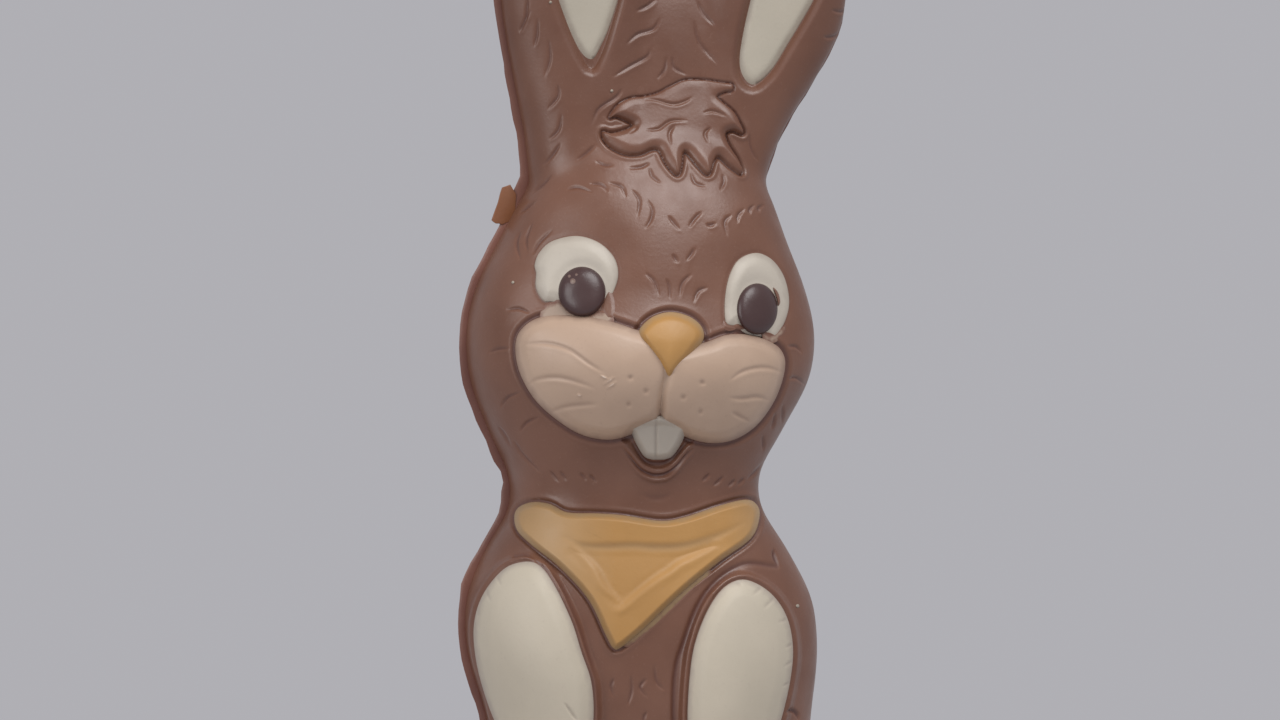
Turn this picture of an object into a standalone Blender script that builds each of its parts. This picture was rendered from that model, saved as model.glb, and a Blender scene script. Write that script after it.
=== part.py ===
"""A moulded chocolate bunny, 205 mm tall, cast in a two-part mould and decorated with coloured chocolate.

The forms are written in millimetres: X to the viewer's right, the bunny's front towards -Y, Z up.
LEFT and RIGHT are the viewer's. The outlines of the decorations are drawn flat, as seen from
VIEW_TURN degrees to the left of straight ahead: (across, up) in millimetres from the foot of the
bunny's axis. A ray along that view puts each drawn point on the bunny's front.
"""

import math

import bmesh
import bpy
import numpy as np
from mathutils import Matrix, Vector
from mathutils.bvhtree import BVHTree

MM = 0.001
TOTAL_HEIGHT = 205.0
VIEW_TURN = 15.0

# The body
SECTION_FULLNESS = 2.6
EAR_FULLNESS = 2.3
MESH_STEP = 0.9
JOIN_SMOOTHING = 40
BODY_TRIANGLES = 6000
FRONT_FADE = 3.0

# The rim that the two halves of the mould leave along the seam
LEFT_RIM_WIDTH = 1.5
RIGHT_RIM_WIDTH = 0.6
RIM_THICKNESS = 1.0
RIM_POINTS = 110
RIM_WAVE = 0.18
FLASH_REACH = 3.2
FLASH_SPAN = (123.2, 130.6)

# The raised edges that frame the decorations
LEG_RIM = 2.6
LEG_HEIGHT = 2.2
EAR_RIM = 2.0
EAR_HOLLOW_DEPTH = 1.9

# The decorations
GAP = 0.3
WELD_DISTANCE = 0.02
POCKET_REACH = 5.0

# Each form is a stack of sections: height, left edge, right edge, front depth, back depth.
TRUNK = [
    (0, -28.6, 31.0, 20.5, 19.5),
    (12, -30.0, 33.4, 23.0, 22.6),
    (24, -31.2, 34.3, 24.5, 24.2),
    (40, -35.6, 35.8, 24.6, 24.4),
    (48, -35.6, 34.8, 24.0, 23.6),
    (58, -31.8, 29.8, 22.0, 21.4),
    (68, -26.4, 23.9, 19.8, 18.6),
    (72, -26.6, 23.6, 20.2, 18.6),
    (82, -31.0, 28.5, 23.4, 21.2),
    (93, -35.0, 34.2, 25.8, 23.8),
    (101, -35.6, 35.1, 26.2, 24.2),
    (110, -33.8, 33.2, 25.0, 23.2),
    (120, -28.8, 29.4, 22.2, 20.0),
    (132, -22.6, 25.6, 17.4, 15.0),
    (146, -18.0, 22.0, 12.4, 10.5),
]
LEFT_EAR = [
    (124, -20.0, 1.0, 14.0, 12.6),
    (132, -22.6, 1.5, 12.4, 11.0),
    (140, -23.6, 2.5, 10.8, 9.6),
    (150, -25.6, 3.5, 9.6, 8.5),
    (160, -27.6, 4.3, 8.8, 7.8),
    (176, -29.6, 4.0, 8.2, 7.2),
    (205, -29.4, 1.2, 7.0, 6.2),
]
RIGHT_EAR = [
    (124, 2.0, 23.0, 14.0, 12.6),
    (132, 3.5, 25.6, 12.4, 11.0),
    (142, 5.5, 29.8, 10.6, 9.5),
    (154, 7.6, 37.6, 9.6, 8.5),
    (162, 8.8, 41.8, 8.8, 7.8),
    (174, 12.0, 43.6, 8.2, 7.2),
    (203, 19.5, 42.4, 7.0, 6.2),
]
WEB = [
    (124, -8.0, 20.0, 16.0, 13.0),
    (146, -6.0, 21.0, 9.4, 8.0),
    (162, -4.0, 18.0, 7.4, 6.6),
    (176, 0.0, 16.0, 6.6, 6.0),
]

# Outlines, drawn as seen
LEFT_INNER_EAR = [
    (-9.3, 155.9), (-7.6, 158.2), (-5.2, 163.9), (-2.6, 174.0), (-2.6, 184.0), (-5.6, 192.5), (-11.6, 197.4),
    (-16.2, 192.5), (-18.0, 184.0), (-17.6, 174.6), (-15.0, 165.4), (-11.8, 158.0),
]
RIGHT_INNER_EAR = [
    (22.8, 151.0), (26.4, 153.6), (30.2, 159.6), (35.0, 167.8), (38.6, 176.4), (38.6, 186.0), (35.6, 192.6),
    (33.2, 195.4), (30.6, 191.0), (27.2, 183.0), (24.0, 173.6), (21.0, 161.2), (20.4, 154.4),
]
TUFT = [
    (18.6, 150.6), (15.6, 151.8), (11.7, 152.2), (8.2, 151.1), (4.7, 149.3), (0.7, 148.6), (-2.3, 148.1),
    (-4.5, 146.6), (-5.5, 145.1), (-1.8, 144.6), (-1.2, 142.9), (-3.7, 142.1), (-6.7, 141.6), (-7.2, 140.6),
    (-5.7, 138.7), (-3.2, 137.2), (0.2, 137.2), (3.2, 138.2), (5.2, 135.7), (7.9, 133.0), (8.4, 136.2),
    (9.7, 137.2), (11.2, 135.7), (14.2, 133.2), (14.7, 135.7), (15.4, 136.4), (18.2, 134.8), (20.6, 133.7),
    (19.1, 137.2), (17.6, 140.2), (20.6, 141.4), (20.1, 143.6), (18.6, 146.1), (16.7, 148.1), (18.1, 149.1),
]
LEFT_EYE = [
    (-20.7, 115.6), (-19.0, 118.3), (-16.0, 120.0), (-12.6, 120.6), (-9.0, 119.9), (-6.0, 118.2), (-4.2, 115.6),
    (-4.2, 112.4), (-5.4, 108.8), (-8.0, 105.0), (-15.0, 105.0), (-18.7, 107.6), (-20.1, 110.6),
]
RIGHT_EYE = [
    (17.3, 109.4), (17.9, 113.0), (19.6, 115.6), (22.2, 117.1), (24.6, 117.1), (27.2, 115.6), (29.0, 113.0),
    (29.8, 109.4), (29.6, 105.8), (28.4, 102.6), (25.4, 100.8), (21.0, 101.4), (18.2, 103.2), (17.4, 106.0),
]
LEFT_PUPIL = {"centre": (-11.2, 109.6), "half_size": (4.75, 5.2)}
RIGHT_PUPIL = {"centre": (23.9, 106.3), "half_size": (4.45, 5.2)}
LEFT_CHEEK = [
    (5.4, 99.6), (-1.0, 102.2), (-5.2, 103.4), (-10.0, 104.8), (-16.2, 105.0), (-20.6, 104.0), (-23.6, 101.4),
    (-24.3, 98.0), (-23.4, 93.4), (-20.6, 88.4), (-16.4, 84.4), (-11.2, 81.2), (-5.8, 80.2), (-1.4, 81.4),
    (3.0, 84.2), (6.0, 88.0), (7.2, 93.4),
]
RIGHT_CHEEK = [
    (5.4, 96.6), (13.6, 99.6), (17.6, 101.0), (22.0, 101.0), (26.4, 99.6), (28.8, 97.4), (29.2, 94.0),
    (27.4, 88.4), (23.8, 83.2), (19.2, 80.2), (14.4, 79.5), (9.8, 80.8), (6.6, 83.0), (3.8, 86.4), (3.6, 91.4),
]
MUZZLE_SWELL = {"centre": (2.6, 92.6), "half_size": (31.0, 17.0)}
NOSE = [
    (6.5, 105.5), (3.0, 104.6), (0.5, 102.4), (0.1, 100.5), (1.4, 98.2), (3.6, 95.8), (6.3, 92.9), (9.0, 95.2),
    (11.4, 97.6), (13.0, 100.2), (12.6, 102.6), (10.2, 104.6),
]
TEETH = [
    (-1.2, 84.0), (-0.9, 81.4), (0.3, 77.9), (1.6, 76.5), (3.9, 76.3), (6.4, 76.5), (7.8, 77.9), (9.2, 81.0),
    (9.4, 84.0), (4.2, 85.6),
]
MOUTH = [
    (-3.4, 80.6), (-1.6, 77.8), (0.8, 74.6), (4.0, 73.4), (7.2, 74.6), (9.6, 77.6), (11.4, 80.2), (8.0, 84.0),
    (0.0, 84.0),
]
BANDANA = [
    (-24.6, 65.0), (-23.6, 66.8), (-20.8, 67.8), (-17.4, 67.4), (-14.0, 65.8), (-8.0, 65.6), (-2.8, 65.2),
    (4.6, 64.1), (9.6, 64.9), (16.0, 67.0), (21.4, 68.2), (23.8, 67.0), (24.2, 64.4), (22.4, 60.4), (16.0, 55.8),
    (8.4, 49.6), (1.0, 42.6), (-3.2, 39.2), (-4.8, 38.9), (-6.4, 41.6), (-9.8, 48.6), (-15.4, 54.8),
    (-21.2, 59.4), (-24.0, 62.2),
]
BANDANA_PANEL = [(-13.4, 58.6), (-1.0, 59.0), (8.0, 58.8), (15.4, 59.2), (8.0, 55.0), (-3.4, 47.2), (-8.0, 53.0)]
LEFT_SOLE = [
    (-22.8, 56.0), (-26.8, 54.4), (-30.8, 49.4), (-32.6, 43.4), (-32.2, 36.4), (-30.4, 29.2), (-27.8, 22.6),
    (-24.6, 16.4), (-21.0, 11.6), (-16.8, 9.2), (-12.8, 11.4), (-10.0, 17.4), (-8.8, 25.0), (-9.2, 32.2),
    (-11.2, 38.4), (-13.2, 44.6), (-16.6, 51.6), (-19.6, 55.4),
]
RIGHT_SOLE = [
    (21.2, 52.4), (17.2, 51.0), (14.0, 46.8), (11.6, 41.0), (10.4, 35.0), (9.8, 25.0), (10.6, 16.8), (13.2, 11.0),
    (17.0, 8.8), (21.6, 10.4), (25.6, 15.8), (28.6, 25.0), (30.4, 33.0), (30.8, 39.4), (29.4, 45.4), (26.0, 50.0),
]

COLOURS = {
    "milk_chocolate": (0.235, 0.122, 0.085),
    "cream_chocolate": (0.62, 0.56, 0.44),
    "blush_chocolate": (0.50, 0.34, 0.26),
    "orange_chocolate": (0.56, 0.30, 0.10),
    "dark_chocolate": (0.055, 0.030, 0.028),
}


def clear_scene():
    for item in list(bpy.data.objects):
        bpy.data.objects.remove(item)


def new_collection(name, hidden=False):
    made = bpy.data.collections.new(name)
    made.hide_render = hidden
    bpy.context.scene.collection.children.link(made)
    return made


def chocolate(name):
    """A Principled material in one of the bunny's chocolates."""
    made = bpy.data.materials.get(name)
    if made is None:
        made = bpy.data.materials.new(name)
        made.use_nodes = True
        shader = made.node_tree.nodes["Principled BSDF"]
        shader.inputs["Base Color"].default_value = (*COLOURS[name], 1.0)
        shader.inputs["Roughness"].default_value = 0.38
    return made


def smooth_step(value):
    share = np.clip(value, 0.0, 1.0)
    return share * share * (3.0 - 2.0 * share)


def curve_through(positions, values, at):
    """The smooth curve through the stations, read at each place in at."""
    slopes = np.gradient(values, positions)
    i = np.clip(np.searchsorted(positions, at) - 1, 0, len(positions) - 2)
    step = positions[i + 1] - positions[i]
    t = np.clip((at - positions[i]) / step, 0.0, 1.0)
    return (
        values[i] * (1 + 2 * t) * (1 - t) ** 2
        + slopes[i] * step * t * (1 - t) ** 2
        + values[i + 1] * t * t * (3 - 2 * t)
        + slopes[i + 1] * step * t * t * (t - 1)
    )


def closed_curve(points, count):
    """count points, evenly spaced along a smooth closed curve through the drawn points."""
    knots = np.array(points, float)
    t = np.linspace(0, 1, 9)[:-1, None]
    before, after, beyond = (np.roll(knots, shift, axis=0) for shift in (1, -1, -2))
    dense = []
    for a, b, c, d in zip(before, knots, after, beyond):
        dense.append(
            0.5 * (2 * b + (c - a) * t + (2 * a - 5 * b + 4 * c - d) * t**2 + (3 * b - a - 3 * c + d) * t**3)
        )
    dense = np.concatenate(dense)
    dense = np.vstack([dense, dense[:1]])
    run = np.concatenate([[0], np.cumsum(np.linalg.norm(np.diff(dense, axis=0), axis=1))])
    at = np.linspace(0, run[-1], count, endpoint=False)
    return np.column_stack([np.interp(at, run, dense[:, k]) for k in range(2)])


def oval(centre, half_size, count):
    turn = np.linspace(0, 2 * math.pi, count, endpoint=False)
    return np.column_stack(
        [centre[0] + half_size[0] * np.cos(turn), centre[1] + half_size[1] * np.sin(turn)]
    )


def signed_area(outline):
    ahead = np.roll(outline, -1, axis=0)
    return np.sum(outline[:, 0] * ahead[:, 1] - ahead[:, 0] * outline[:, 1]) / 2


def grown(outline, by):
    """The outline moved outwards along its normals."""
    ahead, behind = np.roll(outline, -1, axis=0), np.roll(outline, 1, axis=0)
    along = ahead - behind
    normal = np.column_stack([along[:, 1], -along[:, 0]])
    normal /= np.linalg.norm(normal, axis=1)[:, None]
    return outline + normal * by * np.sign(signed_area(outline))


def inside_distance(outline, across, up):
    """The distance of each drawn place from the outline: positive inside it, negative outside."""
    nearest = np.full(len(across), np.inf)
    within = np.zeros(len(across), bool)
    for (x0, y0), (x1, y1) in zip(outline, np.roll(outline, -1, axis=0)):
        dx, dy = x1 - x0, y1 - y0
        share = np.clip(((across - x0) * dx + (up - y0) * dy) / (dx * dx + dy * dy), 0, 1)
        away = np.hypot(across - x0 - share * dx, up - y0 - share * dy)
        nearest = np.minimum(nearest, away)
        if dy:
            spans = (up < y0) != (up < y1)
            within ^= spans & (across < x0 + (up - y0) * dx / dy)
    return np.where(within, nearest, -nearest)


def vertices_of(mesh):
    flat = np.empty(len(mesh.vertices) * 3)
    mesh.vertices.foreach_get("co", flat)
    return flat.reshape(-1, 3) / MM


def set_vertices(mesh, points):
    mesh.vertices.foreach_set("co", (points * MM).ravel())
    mesh.update()


def object_from_bmesh(name, made, collection):
    mesh = bpy.data.meshes.new(name)
    made.to_mesh(mesh)
    made.free()
    item = bpy.data.objects.new(name, mesh)
    collection.objects.link(item)
    return item


def ball(name, segments, rings, collection, flat_below=False):
    """A ball of radius 1 mm. flat_below leaves its lower half only one ring, next to the widest."""
    made = bmesh.new()
    bmesh.ops.create_uvsphere(made, u_segments=segments, v_segments=rings, radius=MM)
    if flat_below:
        levels = sorted({round(v.co.z / MM, 4) for v in made.verts if v.co.z < -1e-4 * MM})
        spare = [
            edge for edge in made.edges
            if all(round(v.co.z / MM, 4) in levels[1:-1] for v in edge.verts)
            and abs(edge.verts[0].co.z - edge.verts[1].co.z) < 1e-4 * MM
        ]
        bmesh.ops.dissolve_edges(made, edges=spare, use_verts=True)
    return object_from_bmesh(name, made, collection)


def stacked_form(name, stations, low_cap, high_cap, fullness, collection):
    """A ball drawn out into the form whose sections are the stations.

    low_cap and high_cap are (where the rounding starts, where it ends)."""
    item = ball(name, 96, 120, collection)
    unit = vertices_of(item.data)
    turn = np.arctan2(unit[:, 1], unit[:, 0])
    height = low_cap[1] + (high_cap[1] - low_cap[1]) * (unit[:, 2] + 1) / 2
    heights, left, right, front, back = np.array(stations, float).T
    edge_left, edge_right, reach_front, reach_back = (
        curve_through(heights, side, height) for side in (left, right, front, back)
    )
    cap = np.ones(len(height))
    for start, end in (low_cap, high_cap):
        share = np.clip((height - start) / (end - start), 0, 1)
        cap *= (1 - share**2) ** 0.55
    bend = 2 / fullness
    wide = np.sign(np.cos(turn)) * np.abs(np.cos(turn)) ** bend
    deep = np.sign(np.sin(turn)) * np.abs(np.sin(turn)) ** bend
    across = (edge_left + edge_right) / 2 + (edge_right - edge_left) / 2 * cap * wide
    depth = np.where(deep < 0, reach_front, reach_back) * cap * deep
    set_vertices(item.data, np.column_stack([across, depth, height]))
    return item


def evaluated_mesh(item):
    bpy.context.view_layer.update()
    graph = bpy.context.evaluated_depsgraph_get()
    return bpy.data.meshes.new_from_object(item.evaluated_get(graph))


def bake_modifiers(item):
    item.data = evaluated_mesh(item)
    item.modifiers.clear()


def joined_forms(collection):
    """Trunk, ears and the web between them as one smooth closed skin."""
    forms = [
        stacked_form("trunk", TRUNK, (8, -26), (126, 150), SECTION_FULLNESS, collection),
        stacked_form("left_ear", LEFT_EAR, (128, 118), (172, 205), EAR_FULLNESS, collection),
        stacked_form("right_ear", RIGHT_EAR, (128, 118), (170, 203), EAR_FULLNESS, collection),
        stacked_form("web", WEB, (130, 118), (156, 177), EAR_FULLNESS, collection),
    ]
    made = bmesh.new()
    for form in forms:
        made.from_mesh(form.data)
    skin = object_from_bmesh("skin", made, collection)
    for form in forms:
        bpy.data.objects.remove(form)
    remesh = skin.modifiers.new("even_mesh", "REMESH")
    remesh.mode = "VOXEL"
    remesh.voxel_size = MESH_STEP * MM
    smooth = skin.modifiers.new("blend_joins", "SMOOTH")
    smooth.factor = 0.5
    smooth.iterations = JOIN_SMOOTHING
    bake_modifiers(skin)
    return skin


def drawn_place(points):
    """Where points on the skin appear in the drawing: (across, up)."""
    turn = math.radians(VIEW_TURN)
    return points[:, 0] * math.cos(turn) - points[:, 1] * math.sin(turn), points[:, 2]


def mound(outline, across, up, height, slope):
    return height * smooth_step(inside_distance(outline, across, up) / slope)


def swelling(spec, across, up):
    """A soft round swelling, 1 at its centre."""
    (x, y), (w, h) = spec["centre"], spec["half_size"]
    share = ((across - x) / w) ** 2 + ((up - y) / h) ** 2
    return np.clip(1 - share, 0, 1) ** 1.5


def ring(outline, across, up, height, offset, width):
    """A raised line that follows the outline at an offset outside it."""
    away = inside_distance(outline, across, up) + offset
    return height * np.exp(-((away / width) ** 2))


def front_relief(across, up):
    """How far the mould's front half stands out from the smooth skin, in millimetres."""
    relief = np.zeros(len(across))
    for inner in (LEFT_INNER_EAR, RIGHT_INNER_EAR):
        edge = grown(closed_curve(inner, 90), EAR_RIM)
        relief -= mound(edge, across, up, EAR_HOLLOW_DEPTH, 1.9)
        relief += ring(edge, across, up, 0.5, 1.8, 1.6)
    relief += mound(closed_curve(TUFT, 160), across, up, 1.5, 1.2)
    for eye in (LEFT_EYE, RIGHT_EYE):
        middle = np.mean(eye, axis=0)
        away = np.hypot((across - middle[0]) / 13.0, (up - middle[1] - 1.0) / 12.0)
        relief -= 1.1 * np.exp(-(away**4))
    relief += 3.4 * swelling(MUZZLE_SWELL, across, up)
    relief -= mound(closed_curve(MOUTH, 60), across, up, 1.4, 1.6)
    clear_of_bandana = smooth_step(-inside_distance(closed_curve(BANDANA, 90), across, up) / 1.6)
    for sole in (LEFT_SOLE, RIGHT_SOLE):
        leg = mound(grown(closed_curve(sole, 90), LEG_RIM), across, up, LEG_HEIGHT, 1.7)
        relief += leg * clear_of_bandana
    return relief


def carve(skin):
    """Presses the front's relief into the skin, along the way that the mould opens."""
    points = vertices_of(skin.data)
    across, up = drawn_place(points)
    facing = smooth_step(-points[:, 1] / FRONT_FADE)
    points[:, 1] -= front_relief(across, up) * facing
    set_vertices(skin.data, points)


def search_tree(skin):
    made = bmesh.new()
    made.from_mesh(skin.data)
    tree = BVHTree.FromBMesh(made)
    made.free()
    return tree


class Front:
    """The bunny's front, found along the view that the outlines are drawn in."""

    def __init__(self, smooth_tree, carved_tree):
        self.smooth_tree = smooth_tree
        self.carved_tree = carved_tree
        turn = math.radians(VIEW_TURN)
        self.across = Vector((math.cos(turn), -math.sin(turn), 0))
        self.towards = Vector((-math.sin(turn), -math.cos(turn), 0))

    def at(self, across, up):
        """The drawn point on the carved skin, and the way out of the smooth skin there."""
        eye = self.across * across + Vector((0, 0, up)) + self.towards * 200
        place = self.carved_tree.ray_cast(eye * MM, -self.towards)[0]
        if place is None:
            flat = (self.across * across + Vector((0, 0, up))) * MM
            place = self.carved_tree.find_nearest(flat)[0]
        out = self.smooth_tree.find_nearest(place)[1]
        return np.array(place) / MM, np.array(out)


def pebble(name, front, outline, lift, sink, rings, collection, gap=0.0):
    """A closed lens-shaped piece on the bunny's front, with the drawn outline.

    lift(r, across, up) is how far its face stands out, from r = 0 at the middle to 1 at the edge,
    and sink is how deep its underside lies in the body. The rings run round the line from one
    side's middle to the other's, so that a wide piece gets even faces. gap widens the piece."""
    item = ball(name, len(outline), 2 * rings, collection, flat_below=True)
    unit = vertices_of(item.data)
    radius = np.minimum(np.hypot(unit[:, 0], unit[:, 1]), 1.0)
    turn = np.mod(np.arctan2(unit[:, 1], unit[:, 0]) / (2 * math.pi), 1.0)
    index = np.round(turn * len(outline)).astype(int) % len(outline)
    middle = outline.mean(axis=0)
    spread = outline - middle
    wide = np.ptp(outline[:, 0]) - np.ptp(outline[:, 1])
    reach = np.clip(wide / 2, 0, None)
    spine = np.column_stack([np.clip(spread[:, 0], -reach, reach), np.zeros(len(spread))])
    r = radius[:, None]
    drawn = middle + r * spread[index] + r * (1 - r) * spine[index] * 0.8
    found = [front.at(across, up) for across, up in drawn]
    places, outward = (np.array(part) for part in zip(*found))
    rise = np.where(unit[:, 2] > 1e-6, lift(radius, drawn[:, 0], drawn[:, 1]), 0.0)
    rise -= np.where(unit[:, 2] < -1e-6, sink, 0.0)
    rim, rim_outward = (np.array(part) for part in zip(*[front.at(*place) for place in outline]))
    along = np.roll(rim, -1, axis=0) - np.roll(rim, 1, axis=0)
    sideways = np.cross(along, rim_outward) * np.sign(signed_area(outline))
    sideways /= np.linalg.norm(sideways, axis=1)[:, None]
    set_vertices(item.data, places + outward * rise[:, None] + sideways[index] * gap * r)
    made = bmesh.new()
    made.from_mesh(item.data)
    bmesh.ops.triangulate(made, faces=made.faces, quad_method="FIXED")
    bmesh.ops.recalc_face_normals(made, faces=made.faces)
    made.to_mesh(item.data)
    made.free()
    return item


def pocket(name, front, outline, sink, rings, collection):
    """The room that a piece takes up, a gap larger, for cutting out of what lies round it."""
    return pebble(
        name + "_pocket", front, outline, lambda *place: POCKET_REACH, sink + GAP, rings, collection, GAP
    )


def dome(height, fullness=4.0):
    return lambda radius, across, up: height * (1 - radius**fullness) ** 0.5


def teeth_lift(radius, across, up):
    middle = 3.7
    groove = 0.5 * np.exp(-(((across - middle) / 0.5) ** 2))
    return (1.4 - groove) * (1 - radius**4) ** 0.5


def bandana_lift(radius, across, up):
    """A rolled top edge and a raised hem round a lower three-cornered panel."""
    panel = inside_distance(closed_curve(BANDANA_PANEL, 60), across, up)
    return (2.1 - 1.0 * smooth_step((panel + 0.8) / 2.4)) * (1 - radius**10) ** 0.5


def decorations():
    """(name, chocolate, outline, lift, sink, rings) of each inlaid piece, as seen from the left up."""
    return [
        ("inner_ear_left", "cream_chocolate", closed_curve(LEFT_INNER_EAR, 28), dome(0.5), 1.2, 4),
        ("inner_ear_right", "cream_chocolate", closed_curve(RIGHT_INNER_EAR, 28), dome(0.5), 1.2, 4),
        ("eye_left", "cream_chocolate", closed_curve(LEFT_EYE, 24), dome(1.1), 1.6, 3),
        ("eye_right", "cream_chocolate", closed_curve(RIGHT_EYE, 24), dome(1.1), 1.6, 3),
        ("pupil_left", "dark_chocolate", oval(count=16, **LEFT_PUPIL), dome(2.6, 2.4), 0.6, 3),
        ("pupil_right", "dark_chocolate", oval(count=16, **RIGHT_PUPIL), dome(2.6, 2.4), 0.6, 3),
        ("muzzle", "blush_chocolate", closed_curve(LEFT_CHEEK, 32), dome(2.3, 2.6), 1.6, 5),
        ("nose", "orange_chocolate", closed_curve(NOSE, 20), dome(3.4, 3.0), 1.0, 4),
        ("teeth", "cream_chocolate", closed_curve(TEETH, 20), teeth_lift, 1.2, 4),
        ("bandana", "orange_chocolate", closed_curve(BANDANA, 48), bandana_lift, 1.8, 5),
        ("sole_left", "cream_chocolate", closed_curve(LEFT_SOLE, 30), dome(1.9, 3.0), 1.8, 4),
        ("sole_right", "cream_chocolate", closed_curve(RIGHT_SOLE, 30), dome(1.9, 3.0), 1.8, 4),
    ]


# A later piece lies over an earlier one where their outlines cross.
OVERLAPS = {
    "eye_left": ["pupil_left", "muzzle"],
    "eye_right": ["pupil_right", "muzzle"],
    "pupil_left": ["muzzle"],
    "pupil_right": ["muzzle"],
    "muzzle": ["nose"],
    "teeth": ["muzzle"],
}


def fuse(item, other, operation):
    """Adds the other form to the item, or takes it away."""
    modifier = item.modifiers.new(other.name, "BOOLEAN")
    modifier.operation = operation
    modifier.object = other
    modifier.solver = "MANIFOLD"
    bake_modifiers(item)


def drop_scraps(item):
    """Keeps only the largest connected piece."""
    made = bmesh.new()
    made.from_mesh(item.data)
    left, groups = set(made.verts), []
    while left:
        group, front = set(), [next(iter(left))]
        while front:
            vertex = front.pop()
            if vertex in group:
                continue
            group.add(vertex)
            front.extend(edge.other_vert(vertex) for edge in vertex.link_edges)
        left -= group
        groups.append(group)
    groups.sort(key=len)
    for group in groups[:-1]:
        bmesh.ops.delete(made, geom=list(group), context="VERTS")
    bmesh.ops.remove_doubles(made, verts=made.verts, dist=WELD_DISTANCE * MM)
    made.to_mesh(item.data)
    made.free()


def seam_outline(skin):
    """The skin's outline on the plane between the mould's halves, as points in order."""
    made = bmesh.new()
    made.from_mesh(skin.data)
    bmesh.ops.bisect_plane(
        made,
        geom=made.verts[:] + made.edges[:] + made.faces[:],
        plane_co=(0, 0, 0),
        plane_no=(0, 1, 0),
        clear_inner=True,
        clear_outer=True,
    )
    made.verts.ensure_lookup_table()
    start = min(made.verts, key=lambda v: v.co.z)
    loop, previous, current = [start], None, start
    while True:
        following = [e.other_vert(current) for e in current.link_edges]
        following = [v for v in following if v != previous]
        previous, current = current, following[0]
        if current == start:
            break
        loop.append(current)
    points = np.array([(v.co.x, v.co.z) for v in loop]) / MM
    made.free()
    return points


def even_points(loop, count):
    closed = np.vstack([loop, loop[:1]])
    run = np.concatenate([[0], np.cumsum(np.linalg.norm(np.diff(closed, axis=0), axis=1))])
    at = np.linspace(0, run[-1], count, endpoint=False)
    return np.column_stack([np.interp(at, run, closed[:, k]) for k in range(2)])


def seam_rim(skin, collection):
    """The thin rim along the seam, with the flake of flash that hangs on beside the left ear."""
    outline = even_points(seam_outline(skin), RIM_POINTS)
    turns = np.linspace(0, 2 * math.pi, RIM_POINTS, endpoint=False)
    wave = RIM_WAVE * (np.sin(11 * turns) + 0.6 * np.sin(29 * turns + 1.0) + 0.4 * np.sin(53 * turns))
    flash = (outline[:, 0] < 0) & (outline[:, 1] > FLASH_SPAN[0]) & (outline[:, 1] < FLASH_SPAN[1])
    outer = grown(outline, 1.0) - outline
    width = RIGHT_RIM_WIDTH + (LEFT_RIM_WIDTH - RIGHT_RIM_WIDTH) * smooth_step((5 - outline[:, 0]) / 15)
    outer = outline + outer * (width + wave + FLASH_REACH * flash)[:, None]
    made = bmesh.new()
    corners = [made.verts.new((x * MM, -RIM_THICKNESS / 2 * MM, z * MM)) for x, z in outer]
    face = made.faces.new(corners)
    pushed = bmesh.ops.extrude_face_region(made, geom=[face])["geom"]
    moved = [v for v in pushed if isinstance(v, bmesh.types.BMVert)]
    bmesh.ops.translate(made, verts=moved, vec=(0, RIM_THICKNESS * MM, 0))
    bmesh.ops.triangulate(made, faces=made.faces)
    bmesh.ops.recalc_face_normals(made, faces=made.faces)
    return object_from_bmesh("seam_rim_form", made, collection)


def flat_base(item):
    """Cuts the body off level at its foot."""
    made = bmesh.new()
    made.from_mesh(item.data)
    bmesh.ops.bisect_plane(
        made,
        geom=made.verts[:] + made.edges[:] + made.faces[:],
        plane_co=(0, 0, 0),
        plane_no=(0, 0, -1),
        clear_outer=True,
    )
    rim = [edge for edge in made.edges if edge.is_boundary]
    bmesh.ops.holes_fill(made, edges=rim)
    bmesh.ops.triangulate(made, faces=[face for face in made.faces if len(face.verts) > 4])
    bmesh.ops.recalc_face_normals(made, faces=made.faces)
    made.to_mesh(item.data)
    made.free()


def chocolate_body(skin, pieces, helpers):
    """The carved skin with its seam rim, and a pocket for each decoration."""
    body = bpy.data.objects.new("chocolate_body", skin.data.copy())
    pieces.objects.link(body)
    thin = body.modifiers.new("fewer_faces", "DECIMATE")
    thin.ratio = BODY_TRIANGLES / (2 * len(skin.data.polygons))
    bake_modifiers(body)
    fuse(body, seam_rim(skin, helpers), "UNION")
    flat_base(body)
    return body


def centre_on_origin(pieces):
    """Moves everything so that the middle of the whole object's floor area is the origin."""
    corners = np.concatenate([vertices_of(item.data) for item in pieces.objects])
    low, high = corners.min(axis=0), corners.max(axis=0)
    shift = Matrix.Translation(Vector((-(low[0] + high[0]) / 2, -(low[1] + high[1]) / 2, -low[2])) * MM)
    for item in pieces.objects:
        item.data.transform(shift)
    bpy.context.view_layer.update()


def main():
    clear_scene()
    pieces = new_collection("chocolate_bunny")
    helpers = new_collection("cutters", hidden=True)
    skin = joined_forms(helpers)
    smooth_tree = search_tree(skin)
    carve(skin)
    front = Front(smooth_tree, search_tree(skin))
    body = chocolate_body(skin, pieces, helpers)
    body.data.materials.clear()
    body.data.materials.append(chocolate("milk_chocolate"))
    inlays = {}
    pockets = {}
    for name, kind, outline, lift, sink, rings in decorations():
        inlays[name] = pebble(name, front, outline, lift, sink, rings, pieces)
        pockets[name] = pocket(name, front, outline, sink, rings, helpers)
        inlays[name].data.materials.append(chocolate(kind))
    outline = closed_curve(RIGHT_CHEEK, 30)
    cheek = pebble("right_cheek", front, outline, dome(2.3, 2.6), 1.6, 5, helpers)
    fuse(inlays["muzzle"], cheek, "UNION")
    fuse(pockets["muzzle"], pocket("right_cheek", front, outline, 1.6, 5, helpers), "UNION")
    for name, above in OVERLAPS.items():
        for other in above:
            fuse(inlays[name], pockets[other], "DIFFERENCE")
    for made in pockets.values():
        fuse(body, made, "DIFFERENCE")
    for item in pieces.objects:
        drop_scraps(item)
    for item in list(helpers.objects):
        bpy.data.objects.remove(item)
    centre_on_origin(pieces)


main()
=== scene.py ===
import math

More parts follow.
